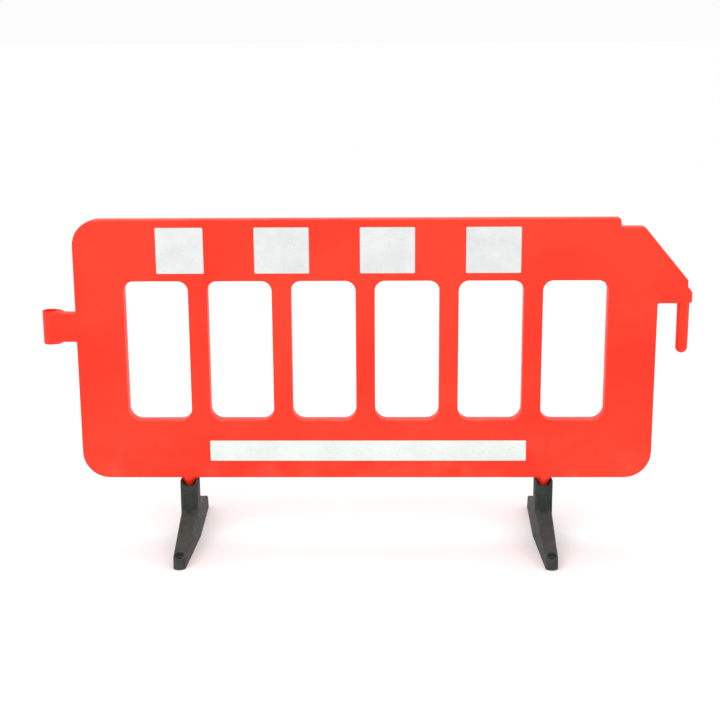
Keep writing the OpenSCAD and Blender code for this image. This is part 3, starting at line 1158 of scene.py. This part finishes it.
    def seats(self) -> tuple[Outline, ...]:
        """Gives the outlines of the shallow seats that hold the sheets."""
        grow = self.seat_margin
        radius = self.sheet_corner + grow
        seats = []
        for node in sheet_nodes(Face.FRONT):
            low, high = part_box(node)
            seats.append(Outline.box(low.x - grow, high.x + grow, low.z - grow, high.z + grow,
                                     radius, radius))
        return tuple(seats)

    def half_share(self, x: float, z: float, face: int) -> float:
        """Gives the local half thickness as a share of the full one.

        Args:
            x: Place along the panel.
            z: Height.
            face: The sign of the face's Y.

        Returns:
            The share, which is less at the neck and where the skin has sunk a little.
        """
        half, blend = self.thickness / 2, self.skin_blend
        beside = 1 - eased((x - self.x0 + self.skin_start) / blend)
        above = (z - self.neck_z1 - blend / 2) / blend
        below = (self.neck_z0 - blend / 2 - z) / blend
        near_neck = 1 - eased(max(above, below) + 1)
        return 1 - (self.neck_setback * beside * near_neck + self.sink(x, z, face)) / half

    def sink(self, x: float, z: float, face: int) -> float:
        """Gives how far the moulded skin has sunk below a true plane.

        Args:
            x: Place along the panel.
            z: Height.
            face: The sign of the face's Y.

        Returns:
            The depth, never less than zero.
        """
        wide = noise.noise(Vector((self.wide_wave * x, 7.0 * face, self.wide_wave * z)))
        fine = noise.noise(Vector((self.fine_wave * x, 3.0 * face, self.fine_wave * z)))
        depth = self.wide_sink * (1 + wide) + self.fine_sink * (1 + fine)
        if face < 0:
            away = math.hypot(x - self.x0 - self.mould_mark[0], z - self.z1 + self.mould_mark[1])
            depth += self.mark_depth * (1 - eased(away / self.mark_radius))
        return depth

    def _fine_points(self) -> tuple[tuple[float, float], ...]:
        """Gives extra points where the face bends tightly: at the neck and in the mould mark."""
        points = []
        for k in range(7):
            x = self.x0 + (-2 + 2 * k) * MM
            points += [(x, float(z)) for z in np.arange(self.neck_z0, self.neck_z1, 6 * MM)]
        mark_x, mark_z = self.x0 + self.mould_mark[0], self.z1 - self.mould_mark[1]
        for k in range(1, 5):
            radius = self.mark_radius * k / 4
            points += [(mark_x + radius * math.cos(a), mark_z + radius * math.sin(a))
                       for a in np.linspace(0, 2 * math.pi, 6 + 3 * k, endpoint=False)]
        return tuple(points)

    def _eye(self) -> Draft:
        """Gives the eye as a solid round bar, before it is bored."""
        r, z0, z1 = self.eye_radius, self.eye_z0, self.eye_z1
        profile = softened([(0.0, z0), (r, z0), (r, z1), (0.0, z1)], 4 * MM)
        return turned(profile, (self.eye_x, 0.0))

    def _knuckle(self) -> Draft:
        """Gives the knuckle, whose top slopes like the nose above it."""
        r, z0, z1 = self.knuckle_radius, self.arm_z0, self.knuckle_z1
        base = z0 + self.knuckle_base
        rows = [(0.0, z0), (0.5 * r, z0), (r, z0), (r, base)]
        rows += [(r, base + (z1 - base) * k / 5) for k in range(1, 5)]
        rows += [(r, z1)] + [(r * k / 6, z1) for k in range(5, -1, -1)]
        draft = turned(softened(rows, 7 * MM, 4), (self.pin_x, 0.0))
        for k, (x, y, z) in enumerate(draft.points):
            limit = self.shoulder_z - (x - self.shoulder_x1) * math.tan(self.slope)
            limit -= self.knuckle_inset / math.cos(self.slope)
            top = -math.log(math.exp(-z1 / MM / 2) + math.exp(-limit / MM / 2)) * 2 * MM
            if z > base:
                draft.points[k] = (x, y, base + (z - base) * (top - base) / (z1 - base))
        return draft

    def _boss(self, x: float) -> Draft:
        """Gives one foot boss: a cone held within the panel's thickness, and a round spigot.

        Args:
            x: The boss's place along the panel.

        Returns:
            The solid, which reaches a little way into the panel.
        """
        cone_z, spigot_z = self.z0 - self.boss_height, self.z0 - self.boss_height - self.spigot_length
        spread = (self.boss_radius - self.spigot_radius) / self.boss_height
        bury = self.boss_bury
        rows = [(0.0, spigot_z), (self.spigot_radius, spigot_z), (self.spigot_radius, cone_z)]
        rows += [(self.spigot_radius + spread * h, cone_z + h)
                 for h in np.linspace(self.boss_height / 6, self.boss_height + bury, 8)]
        rows += [(0.0, self.z0 + bury)]
        flat, power = self.thickness / 2 - self.boss_inset, self.boss_squareness

        def trim(angle: float, radius: float, _height: float) -> float:
            """Holds the radius within the panel's thickness, with a soft corner."""
            across = max(abs(math.sin(angle)), 1e-4)
            return (radius ** -power + (flat / across) ** -power) ** (-1 / power)

        return turned(softened(rows, 2 * MM, 3), (x, 0.0), 120, trim)

    def _openings(self) -> Draft:
        """Gives everything that is bored out of the moulding."""
        lead, over = self.bore_lead, self.bore_over
        r, z0, z1 = self.eye_bore, self.eye_z0, self.eye_z1
        eye = softened([(0.0, z0 - over), (r + lead + 2 * over, z0 - over), (r, z0 + lead),
                        (r, z1 - lead), (r + lead + 2 * over, z1 + over), (0.0, z1 + over)], 3 * MM)
        socket = bored(self.socket_radius, self.arm_z0 - over, self.arm_z0 + self.socket_height)
        drain = bored(self.drain_radius, self.z0 - over, self.z0 + 3 * over)
        spigot_z = self.z0 - self.boss_height - self.spigot_length
        hole = bored(self.insert_radius, spigot_z - over, spigot_z + self.insert_length)
        middle = (self.x0 + self.x1) / 2
        parts = [turned(eye, (self.eye_x, 0.0)), turned(socket, (self.pin_x, 0.0), 64),
                 turned(drain, (middle, 0.0), 32)]
        parts += [turned(hole, (x, 0.0), 48) for x in self.foot_places.values()]
        return merged(parts)

    def build(self) -> bpy.types.Mesh:
        """Builds the whole moulding as one closed mesh."""
        plate = Plate(
            outline=self.silhouette(), half=self.thickness / 2, edge_radius=self.edge_radius,
            windows=self.windows(), recesses=self.seats(), recess_depth=self.seat_depth,
            extra_points=self._fine_points())
        mesh = plate.mesh("panel_skin", self.half_share)
        additions = [self._eye(), self._knuckle(), *(self._boss(x) for x in self.foot_places.values())]
        mesh = carved(mesh, merged(additions), Cut.JOIN)
        return carved(mesh, self._openings(), Cut.REMOVE)

    def dress(self, mesh: bpy.types.Mesh, plastic: bpy.types.Material) -> None:
        """Shows the moulding in its finish."""
        shown(mesh, "panel_moulding", self.body, "panel_plastic", plastic, "panel")


@dataclass
class CouplingPin:
    """The round pin that drops into the next barrier's eye."""

    panel: Panel
    radius: float = 19 * MM
    draft: float = 0.2 * MM
    tenon_radius: float = 15 * MM
    root_radius: float = 3 * MM
    seam_height: float = 0.2 * MM
    seam_width: float = math.radians(2.5)

    def build(self) -> bpy.types.Mesh:
        """Builds the pin as one turned solid with a seam down each side."""
        low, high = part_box("coupling_pin")
        tip_radius = self.radius - self.draft
        middle = low.z + tip_radius
        angles = [math.pi / 2 * k / 12 for k in range(13)]
        rows = [(tip_radius * math.sin(a), middle - tip_radius * math.cos(a)) for a in angles]
        top = self.panel.arm_z0
        rows += [(tip_radius + self.draft * k / 6, middle + (top - middle) * k / 6) for k in range(1, 7)]
        rows += [(self.tenon_radius, top), (self.tenon_radius, high.z), (0.0, high.z)]

        def trim(angle: float, radius: float, height: float) -> float:
            """Raises a thin seam on the two sides, and sinks the rest below the full radius."""
            off = min(abs(math.sin(angle)) / self.seam_width, 1.0)
            fade = min(radius / self.tenon_radius, 1.0) if height < top else 0.0
            return radius - self.seam_height * off * fade

        return turned(rows, (self.panel.pin_x, 0.0), 144, trim).mesh("pin")

    def dress(self, mesh: bpy.types.Mesh, plastic: bpy.types.Material) -> None:
        """Shows the pin in its finish."""
        shown(mesh, "coupling_pin_shank", self.panel.body, "pin_plastic", plastic, "coupling_pin")


@dataclass
class ReflectiveSheets:
    """The four square sheets and the long strip on each face."""

    panel: Panel
    corner: float = 4 * MM
    edge_radius: float = 0.15 * MM
    spacing: float = 6 * MM
    crease_depth: float = 0.16 * MM

    def build(self, node: str, face: Face) -> bpy.types.Mesh:
        """Builds one sheet, which follows the skin under it and has faint creases.

        Args:
            node: The sheet's node.
            face: The face that it is on.

        Returns:
            The sheet's mesh.
        """
        low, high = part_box(node)
        half = (high.y - low.y) / 2
        middle = (high.y + low.y) / 2
        outline = Outline.box(low.x, high.x, low.z, high.z, self.corner, self.corner, self.spacing)
        plate = Plate(outline=outline, half=half, edge_radius=self.edge_radius, draft=0.0, ridge=0.02 * MM,
                      spacing=self.spacing, edge_steps=2, settle_width=1 * MM)
        mesh = plate.mesh(node, lambda x, z, side: 1.0)
        sign = face.value
        for vertex in mesh.vertices:
            x, y, z = vertex.co
            outer = eased(y * sign / half)
            edge = min(x - low.x, high.x - x, z - low.z, high.z - z)
            crease = noise.noise(Vector((22.0 * (x + 0.6 * z), 9.0 * sign, 9.0 * z)))
            lift = self.crease_depth * (0.5 + crease) * eased(edge / (8 * MM)) * outer
            sunk = self.panel.sink(x, z, sign)
            vertex.co.y = middle + y - sign * (sunk + max(lift, 0.0))
        return mesh

    def dress(self, mesh: bpy.types.Mesh, node: str, sheeting: bpy.types.Material) -> None:
        """Shows one sheet in its finish."""
        shown(mesh, f"{node}_film", self.panel.body, "reflective_sheet", sheeting, node)


@dataclass
class Foot:
    """One rubber foot: two low arms and a post whose horns hold the panel's boss."""

    panel: Panel
    toe_radius: float = 19.5 * MM
    middle_width: float = 58 * MM
    post_width: float = 55 * MM
    post_depth: float = 66 * MM
    post_edge: float = 6 * MM
    horn_top: float = 196 * MM
    side_draft: float = 1.5 * MM
    arm_profile: tuple[tuple[float, float], ...] = (
        (0.0, 100 * MM), (33 * MM, 99.5 * MM), (38 * MM, 96.5 * MM), (45 * MM, 94 * MM), (60 * MM, 90.8 * MM),
        (108 * MM, 80.2 * MM), (170 * MM, 66.4 * MM), (238 * MM, 51 * MM), (262 * MM, 46 * MM),
        (272 * MM, 43.5 * MM), (280 * MM, 39 * MM), (286 * MM, 33 * MM), (290 * MM, 26 * MM),
        (292 * MM, 18 * MM))
    arm_edge: float = 7 * MM
    seat_gap: float = 0.6 * MM
    sleeve_radius: float = 8.06 * MM
    core_radius: float = 20 * MM
    web_low: float = 138 * MM
    web_high: float = 150 * MM
    pocket_width: float = 32 * MM
    pocket_depth: float = 3 * MM
    pocket_low: float = 92 * MM
    pocket_corner: float = 3 * MM
    well_radius: float = 13.5 * MM
    well_floor: float = 32 * MM
    anchor_radius: float = 6.5 * MM
    voxel: float = 1.3 * MM
    smoothing: int = 5
    kept_share: float = 0.34

    def _arm_height(self, y: float) -> float:
        """Gives the height of the arms' ridge at a distance from the axis."""
        places, heights = zip(*self.arm_profile)
        return float(np.interp(abs(y), places, heights))

    def _arms(self, reach: float) -> Draft:
        """Gives the two arms as one loft from toe to toe.

        Args:
            reach: The distance from the axis to the tip of a toe.

        Returns:
            The solid.
        """
        draft = Draft()
        toe_y = reach - self.toe_radius
        bends = [reach - self.toe_radius * (1 - math.cos(math.pi / 2 * k / 10)) for k in range(11)]
        straight = [y for y, _ in self.arm_profile if y < toe_y]
        halves = sorted({0.0, *straight, *np.linspace(50 * MM, toe_y, 14), *bends})
        stations = [-y for y in reversed(halves[1:])] + list(halves)
        rings = []
        for y in stations:
            span = abs(y)
            if span <= toe_y:
                share = span / toe_y
                width = self.middle_width / 2 * (1 - share) + self.toe_radius * share
            else:
                width = math.sqrt(max(self.toe_radius ** 2 - (span - toe_y) ** 2, 1e-7))
            height = self._arm_height(y)
            rings.append(draft.add(self._section(y, width, height)))
        for first, second in zip(rings, rings[1:]):
            draft.bridge(first, second)
        draft.faces += [tuple(reversed(rings[0])), tuple(rings[-1])]
        return draft

    def _section(self, y: float, width: float, height: float) -> list[tuple[float, float, float]]:
        """Gives one cross-section of an arm, with rounded top edges and drafted sides.

        Args:
            y: The section's place.
            width: Its half width at the ground.
            height: Its height.

        Returns:
            The section's points.
        """
        radius = min(self.arm_edge, 0.45 * width, 0.45 * height)
        top = width - self.side_draft * min(height / (60 * MM), 1.0) * min(width / self.toe_radius, 1.0)
        right = [(width, 0.0), (0.5 * (width + top), 0.5 * (height - radius))]
        for k in range(6):
            angle = math.pi / 2 * k / 5
            across, up = radius * math.cos(angle), radius * math.sin(angle)
            right.append((top - radius + across, height - radius + up))
        points = right + [(0.0, height)] + [(-x, z) for x, z in reversed(right)]
        return [(x, y, z) for x, z in points]

    def _block(self, outline: Outline, z0: float, z1: float) -> Draft:
        """Gives an upright block from a plan outline whose second axis is Y.

        Args:
            outline: The plan.
            z0: The bottom.
            z1: The top.

        Returns:
            The solid.
        """
        draft = Draft()
        ring = outline.ring()
        low = draft.add((x, y, z0) for x, y in ring)
        high = draft.add((x, y, z1) for x, y in ring)
        draft.bridge(low, high)
        draft.faces += [tuple(reversed(low)), tuple(high)]
        return draft

    def _across(self, outline: Outline, y0: float, y1: float) -> Draft:
        """Gives a block that runs along Y from an outline in the X-Z plane.

        Args:
            outline: The outline.
            y0: The front end.
            y1: The back end.

        Returns:
            The solid.
        """
        draft = Draft()
        ring = outline.ring()
        front = draft.add((x, y0, z) for x, z in ring)
        back = draft.add((x, y1, z) for x, z in ring)
        draft.bridge(back, front)
        draft.faces += [tuple(front), tuple(reversed(back))]
        return draft

    def _seat(self) -> list[Draft]:
        """Gives the cuts that let the panel's boss in, from above and between the horns."""
        panel, gap, over = self.panel, self.seat_gap, 12 * MM
        cone_z = panel.z0 - panel.boss_height
        low = panel.spigot_radius + gap
        slope = (panel.boss_radius - panel.spigot_radius) / panel.boss_height
        high = panel.boss_radius + gap + slope * over
        turned_seat = turned([(0.0, self.web_high), (low, self.web_high), (low, cone_z),
                              (high, panel.z0 + over), (0.0, panel.z0 + over)], (0.0, 0.0), 96)
        notch = Outline((Corner(-low, cone_z, 4 * MM), Corner(low, cone_z, 4 * MM),
                         Corner(high, panel.z0 + over), Corner(-high, panel.z0 + over)))
        return [turned_seat, self._across(notch, -self.post_depth, self.post_depth)]

    def _pockets(self) -> list[Draft]:
        """Gives the two shallow pockets in the post's front and back."""
        half, edge = self.pocket_width / 2, self.post_depth / 2
        outline = Outline.box(-half, half, self.pocket_low, self.web_high, 0.98 * half, self.pocket_corner)
        places = ((-2 * edge, self.pocket_depth - edge), (edge - self.pocket_depth, 2 * edge))
        return [self._across(outline, y0, y1) for y0, y1 in places]

    def _bores(self, toe_y: float) -> list[Draft]:
        """Gives the round cuts: the core, the sleeve's hole and each toe's well and anchor hole.

        Args:
            toe_y: The distance from the axis to each well.

        Returns:
            The cutters.
        """
        over = 20 * MM

        def drill(radius: float, z0: float, z1: float, y: float) -> Draft:
            """Gives one plain round cutter."""
            return turned(bored(radius, z0, z1), (0.0, y), 72)

        cuts = [drill(self.core_radius, -over, self.web_low, 0.0),
                drill(self.sleeve_radius, self.web_low - over / 2, self.web_high + over / 2, 0.0)]
        for y in (-toe_y, toe_y):
            cuts += [drill(self.anchor_radius, -over, 3 * over, y),
                     drill(self.well_radius, self.well_floor, 4 * over, y)]
        return cuts

    def build(self) -> bpy.types.Mesh:
        """Builds a foot about its own axis, with every edge softened as rubber is moulded."""
        low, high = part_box("left_foot")
        reach = (high.y - low.y) / 2
        half_w, half_d, edge = self.post_width / 2, self.post_depth / 2, self.post_edge
        post = self._block(Outline.box(-half_w, half_w, -half_d, half_d, edge, edge), 0.0, self.horn_top)
        mesh = carved(self._arms(reach).mesh("foot"), post, Cut.JOIN)
        for tool in (*self._seat(), *self._pockets(), *self._bores(reach - self.toe_radius)):
            mesh = carved(mesh, tool, Cut.REMOVE)
        holder = held(mesh, "foot")
        remesh = holder.modifiers.new("skin", "REMESH")
        remesh.mode = "VOXEL"
        remesh.voxel_size = self.voxel
        smooth = holder.modifiers.new("soften", "SMOOTH")
        smooth.factor = 0.5
        smooth.iterations = self.smoothing
        thin = holder.modifiers.new("thin", "DECIMATE")
        thin.ratio = self.kept_share
        made = applied(holder)
        for vertex in made.vertices:
            vertex.co.z = max(vertex.co.z, 0.0)
        return made

    def dress(self, mesh: bpy.types.Mesh, side: Side, rubber: bpy.types.Material) -> None:
        """Shows a copy of the foot at its own axis.

        Args:
            mesh: The foot about its own axis.
            side: Which foot it is.
            rubber: Its material.
        """
        own = mesh.copy()
        x = self.panel.foot_places[side]
        turn = Matrix.Rotation(math.pi, 4, "Z") if side is Side.RIGHT else Matrix.Identity(4)
        own.transform(Matrix.Translation((x, 0.0, 0.0)) @ turn)
        name = side.name.lower()
        shown(own, f"{name}_foot_moulding", f"{name}_foot_body", "foot_rubber", rubber, f"{name}_foot", 60.0)


@dataclass
class FootPivot:
    """The hardware that holds a foot on its boss: bolt, washer, sleeve and threaded insert."""

    panel: Panel
    bolt_radius: float = 5 * MM
    thread_pitch: float = 1.5 * MM
    thread_depth: float = 0.6 * MM
    head_flats: float = 16 * MM
    head_height: float = 6.4 * MM
    washer_radius: float = 18 * MM
    sleeve_radius: float = 8 * MM
    clearance: float = 0.3 * MM
    insert_radius: float = 9 * MM
    insert_groove: float = 1 * MM
    insert_bands: int = 5
    knurls: int = 32
    knurl_depth: float = 0.35 * MM
    plain_shank: float = 8 * MM
    edge: float = 0.4 * MM
    end_chamfer: float = 0.8 * MM

    def bolt(self, x: float, node: str) -> bpy.types.Mesh:
        """Builds a hexagon bolt with a chamfered head and a grooved thread.

        Args:
            x: Its place along the panel.
            node: The node whose box it fills.

        Returns:
            The bolt's mesh.
        """
        low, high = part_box(node)
        neck = low.z + self.head_height
        full = self.head_flats / 2 / math.cos(math.pi / 6)
        chamfer = 0.94 * self.head_flats / 2
        rows = [(0.0, low.z), (chamfer, low.z), (chamfer + 0.7 * MM, low.z + self.edge),
                (full, low.z + 1.0 * MM), (full, neck - 0.3 * MM), (full - 0.3 * MM, neck),
                (self.bolt_radius, neck)]
        root = self.bolt_radius - self.thread_depth
        z = neck + self.plain_shank
        rows.append((self.bolt_radius, z))
        while z < high.z - 2 * self.thread_pitch:
            rows += [(root, z + 0.5 * self.thread_pitch), (self.bolt_radius, z + self.thread_pitch)]
            z += self.thread_pitch
        rows += [(root, high.z - self.end_chamfer), (root - self.end_chamfer, high.z), (0.0, high.z)]

        def trim(angle: float, radius: float, height: float) -> float:
            """Holds the head within its six flats."""
            if height > neck - 0.1 * MM:
                return radius
            sector = (angle % (math.pi / 3)) - math.pi / 6
            return min(radius, self.head_flats / 2 / math.cos(sector))

        return turned(rows, (x, 0.0), 72, trim).mesh(node)

    def washer(self, x: float, node: str) -> bpy.types.Mesh:
        """Builds a washer with softened edges."""
        low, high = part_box(node)
        inner = self.bolt_radius + self.clearance
        rows = softened([(0.5 * (inner + self.washer_radius), low.z), (self.washer_radius, low.z),
                         (self.washer_radius, high.z), (inner, high.z), (inner, low.z),
                         (0.49 * (inner + self.washer_radius), low.z)], 0.6 * MM)
        return turned(rows, (x, 0.0), 96).mesh(node)

    def sleeve(self, x: float, node: str) -> bpy.types.Mesh:
        """Builds a plain bearing sleeve with chamfered ends."""
        low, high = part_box(node)
        inner, outer, chamfer = self.bolt_radius + self.clearance, self.sleeve_radius, 0.5 * MM
        rows = [(inner + chamfer, low.z), (outer - chamfer, low.z), (outer, low.z + chamfer),
                (outer, high.z - chamfer), (outer - chamfer, high.z), (inner + chamfer, high.z),
                (inner, high.z - chamfer), (inner, low.z + chamfer)]
        return turned(rows, (x, 0.0), 72).mesh(node)

    def insert(self, x: float, node: str) -> bpy.types.Mesh:
        """Builds a moulded-in insert with knurled bands and two grooves.

        Args:
            x: Its place along the panel.
            node: The node whose box it fills.

        Returns:
            The insert's mesh.
        """
        low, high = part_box(node)
        band, inner, edge = (high.z - low.z) / self.insert_bands, self.bolt_radius, self.edge
        outer, groove = self.insert_radius, self.insert_radius - self.insert_groove
        rows = [(inner + edge, low.z)]
        for k in range(self.insert_bands):
            radius = groove if k % 2 else outer
            z0, z1 = low.z + k * band, low.z + (k + 1) * band
            rows += [(radius - (0 if k % 2 else edge), z0), (radius, z0 + edge), (radius, z1 - edge),
                     (radius - (0 if k % 2 else edge), z1)]
        rows += [(inner + edge, high.z), (inner, high.z - edge), (inner, low.z + edge)]

        def trim(angle: float, radius: float, _height: float) -> float:
            """Cuts the knurl into the wide bands."""
            if radius < outer - 0.1 * MM:
                return radius
            return radius - self.knurl_depth * (0.5 + 0.5 * math.cos(self.knurls * angle))

        return turned(rows, (x, 0.0), 4 * self.knurls, trim).mesh(node)

    def dress(self, side: Side, zinc: bpy.types.Material, brass: bpy.types.Material) -> None:
        """Builds and shows one pivot's pieces. All but the insert are zinc plated.

        Args:
            side: The foot that the pivot belongs to.
            zinc: The steel pieces' material.
            brass: The insert's material.
        """
        name = side.name.lower()
        x = self.panel.foot_places[side]
        rows = ((self.bolt, "bolt", "zinc_steel", zinc), (self.washer, "washer", "zinc_steel", zinc),
                (self.sleeve, "sleeve", "zinc_steel", zinc), (self.insert, "insert", "insert_metal", brass))
        bodies = {n: b for b, members in frame["record"]["behaviour"]["bodies"].items() for n in members}
        for make, kind, slot, finish in rows:
            node = f"{name}_{kind}"
            shown(make(x, node), f"{node}_turned", bodies[node], slot, finish, node, 30.0)


@dataclass(frozen=True)
class SoftLight:
    """One soft square light that faces the barrier, with its power in watts."""

    name: str
    place: tuple[float, float, float]
    size: float
    power: float

    def hang(self) -> None:
        """Hangs the light."""
        data = bpy.data.lights.new(self.name, "AREA")
        data.shape = "SQUARE"
        data.size = self.size
        data.energy = self.power
        lamp = bpy.data.objects.new(self.name, data)
        bpy.context.scene.collection.objects.link(lamp)
        lamp.location = self.place
        aim = Vector((0.0, 0.0, 0.5)) - Vector(self.place)
        lamp.rotation_mode = "QUATERNION"
        lamp.rotation_quaternion = aim.to_track_quat("-Z", "Y")


@dataclass
class Studio:
    """A pale floor, a white surround, soft lights and the camera."""

    floor_size: float = 400.0
    surround: float = 0.97
    lights: tuple[SoftLight, ...] = (
        SoftLight("key", (-2.4, -3.6, 3.4), 2.6, 52.0),
        SoftLight("fill", (3.2, -3.0, 2.2), 2.6, 18.0),
        SoftLight("top", (0.0, 1.2, 4.2), 3.0, 26.0))
    camera_place: tuple[float, float, float] = (0.0628, -4.164, 1.5727)
    camera_yaw: float = -0.01946
    camera_pitch: float = 0.23404
    camera_roll: float = -0.0062
    lens: float = 68.89
    sensor_width: float = 36.0
    farthest_seen: float = 1000.0

    def floor(self) -> None:
        """Lays the floor."""
        half = self.floor_size / 2
        draft = Draft()
        corners = draft.add([(-half, -half, 0.0), (half, -half, 0.0), (half, half, 0.0), (-half, half, 0.0)])
        draft.faces.append(tuple(corners))
        paper = held(draft.mesh("floor"), "floor")
        paper.data.materials.append(StudioPaper().make())
        paper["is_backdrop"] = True

    def world(self) -> None:
        """Surrounds the scene with even white light."""
        world = bpy.data.worlds.new("surround")
        bpy.context.scene.world = world
        world.use_nodes = True
        background = world.node_tree.nodes["Background"]
        background.inputs["Color"].default_value = (1.0, 1.0, 1.0, 1.0)
        background.inputs["Strength"].default_value = self.surround

    def camera(self) -> None:
        """Sets up the camera."""
        data = bpy.data.cameras.new("camera")
        data.sensor_width = self.sensor_width
        data.lens = self.lens
        data.clip_end = self.farthest_seen
        camera = bpy.data.objects.new("camera", data)
        bpy.context.scene.collection.objects.link(camera)
        turn = (Matrix.Rotation(-self.camera_yaw, 4, "Z")
                @ Matrix.Rotation(math.pi / 2 - self.camera_pitch, 4, "X")
                @ Matrix.Rotation(self.camera_roll, 4, "Z"))
        camera.matrix_world = Matrix.Translation(self.camera_place) @ turn
        bpy.context.scene.camera = camera

    def build(self) -> None:
        """Sets up everything around the barrier."""
        self.floor()
        self.world()
        for light in self.lights:
            light.hang()
        self.camera()
        view = bpy.context.scene.view_settings
        view.view_transform = "Standard"
        view.look = "None"


def main() -> None:
    """Builds the barrier piece by piece, and the studio around it."""
    logging.basicConfig(level=logging.INFO, format="%(name)s: %(message)s")
    Studio().build()
    panel = Panel()
    panel.dress(panel.build(), MouldedPlastic("panel_plastic").make())
    pin = CouplingPin(panel)
    pin.dress(pin.build(), MouldedPlastic("pin_plastic", gloss_roughness=0.36).make())
    sheets = ReflectiveSheets(panel)
    square, long = SQUARE_SHEETING.make(), STRIP_SHEETING.make()
    for face in Face:
        for node in sheet_nodes(face):
            sheets.dress(sheets.build(node, face), node, long if node.endswith("strip") else square)
    foot = Foot(panel)
    moulded = foot.build()
    rubber = MouldedRubber().make()
    zinc, brass = ZINC.make(), BRASS.make()
    for side in Side:
        foot.dress(moulded, side, rubber)
        FootPivot(panel).dress(side, zinc, brass)
    boxes = {"cad": CAD_BOX, "visual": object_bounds()}
    {key: [list(corner) for corner in box] for key, box in boxes.items()}


if __name__ == "__main__":
    main()
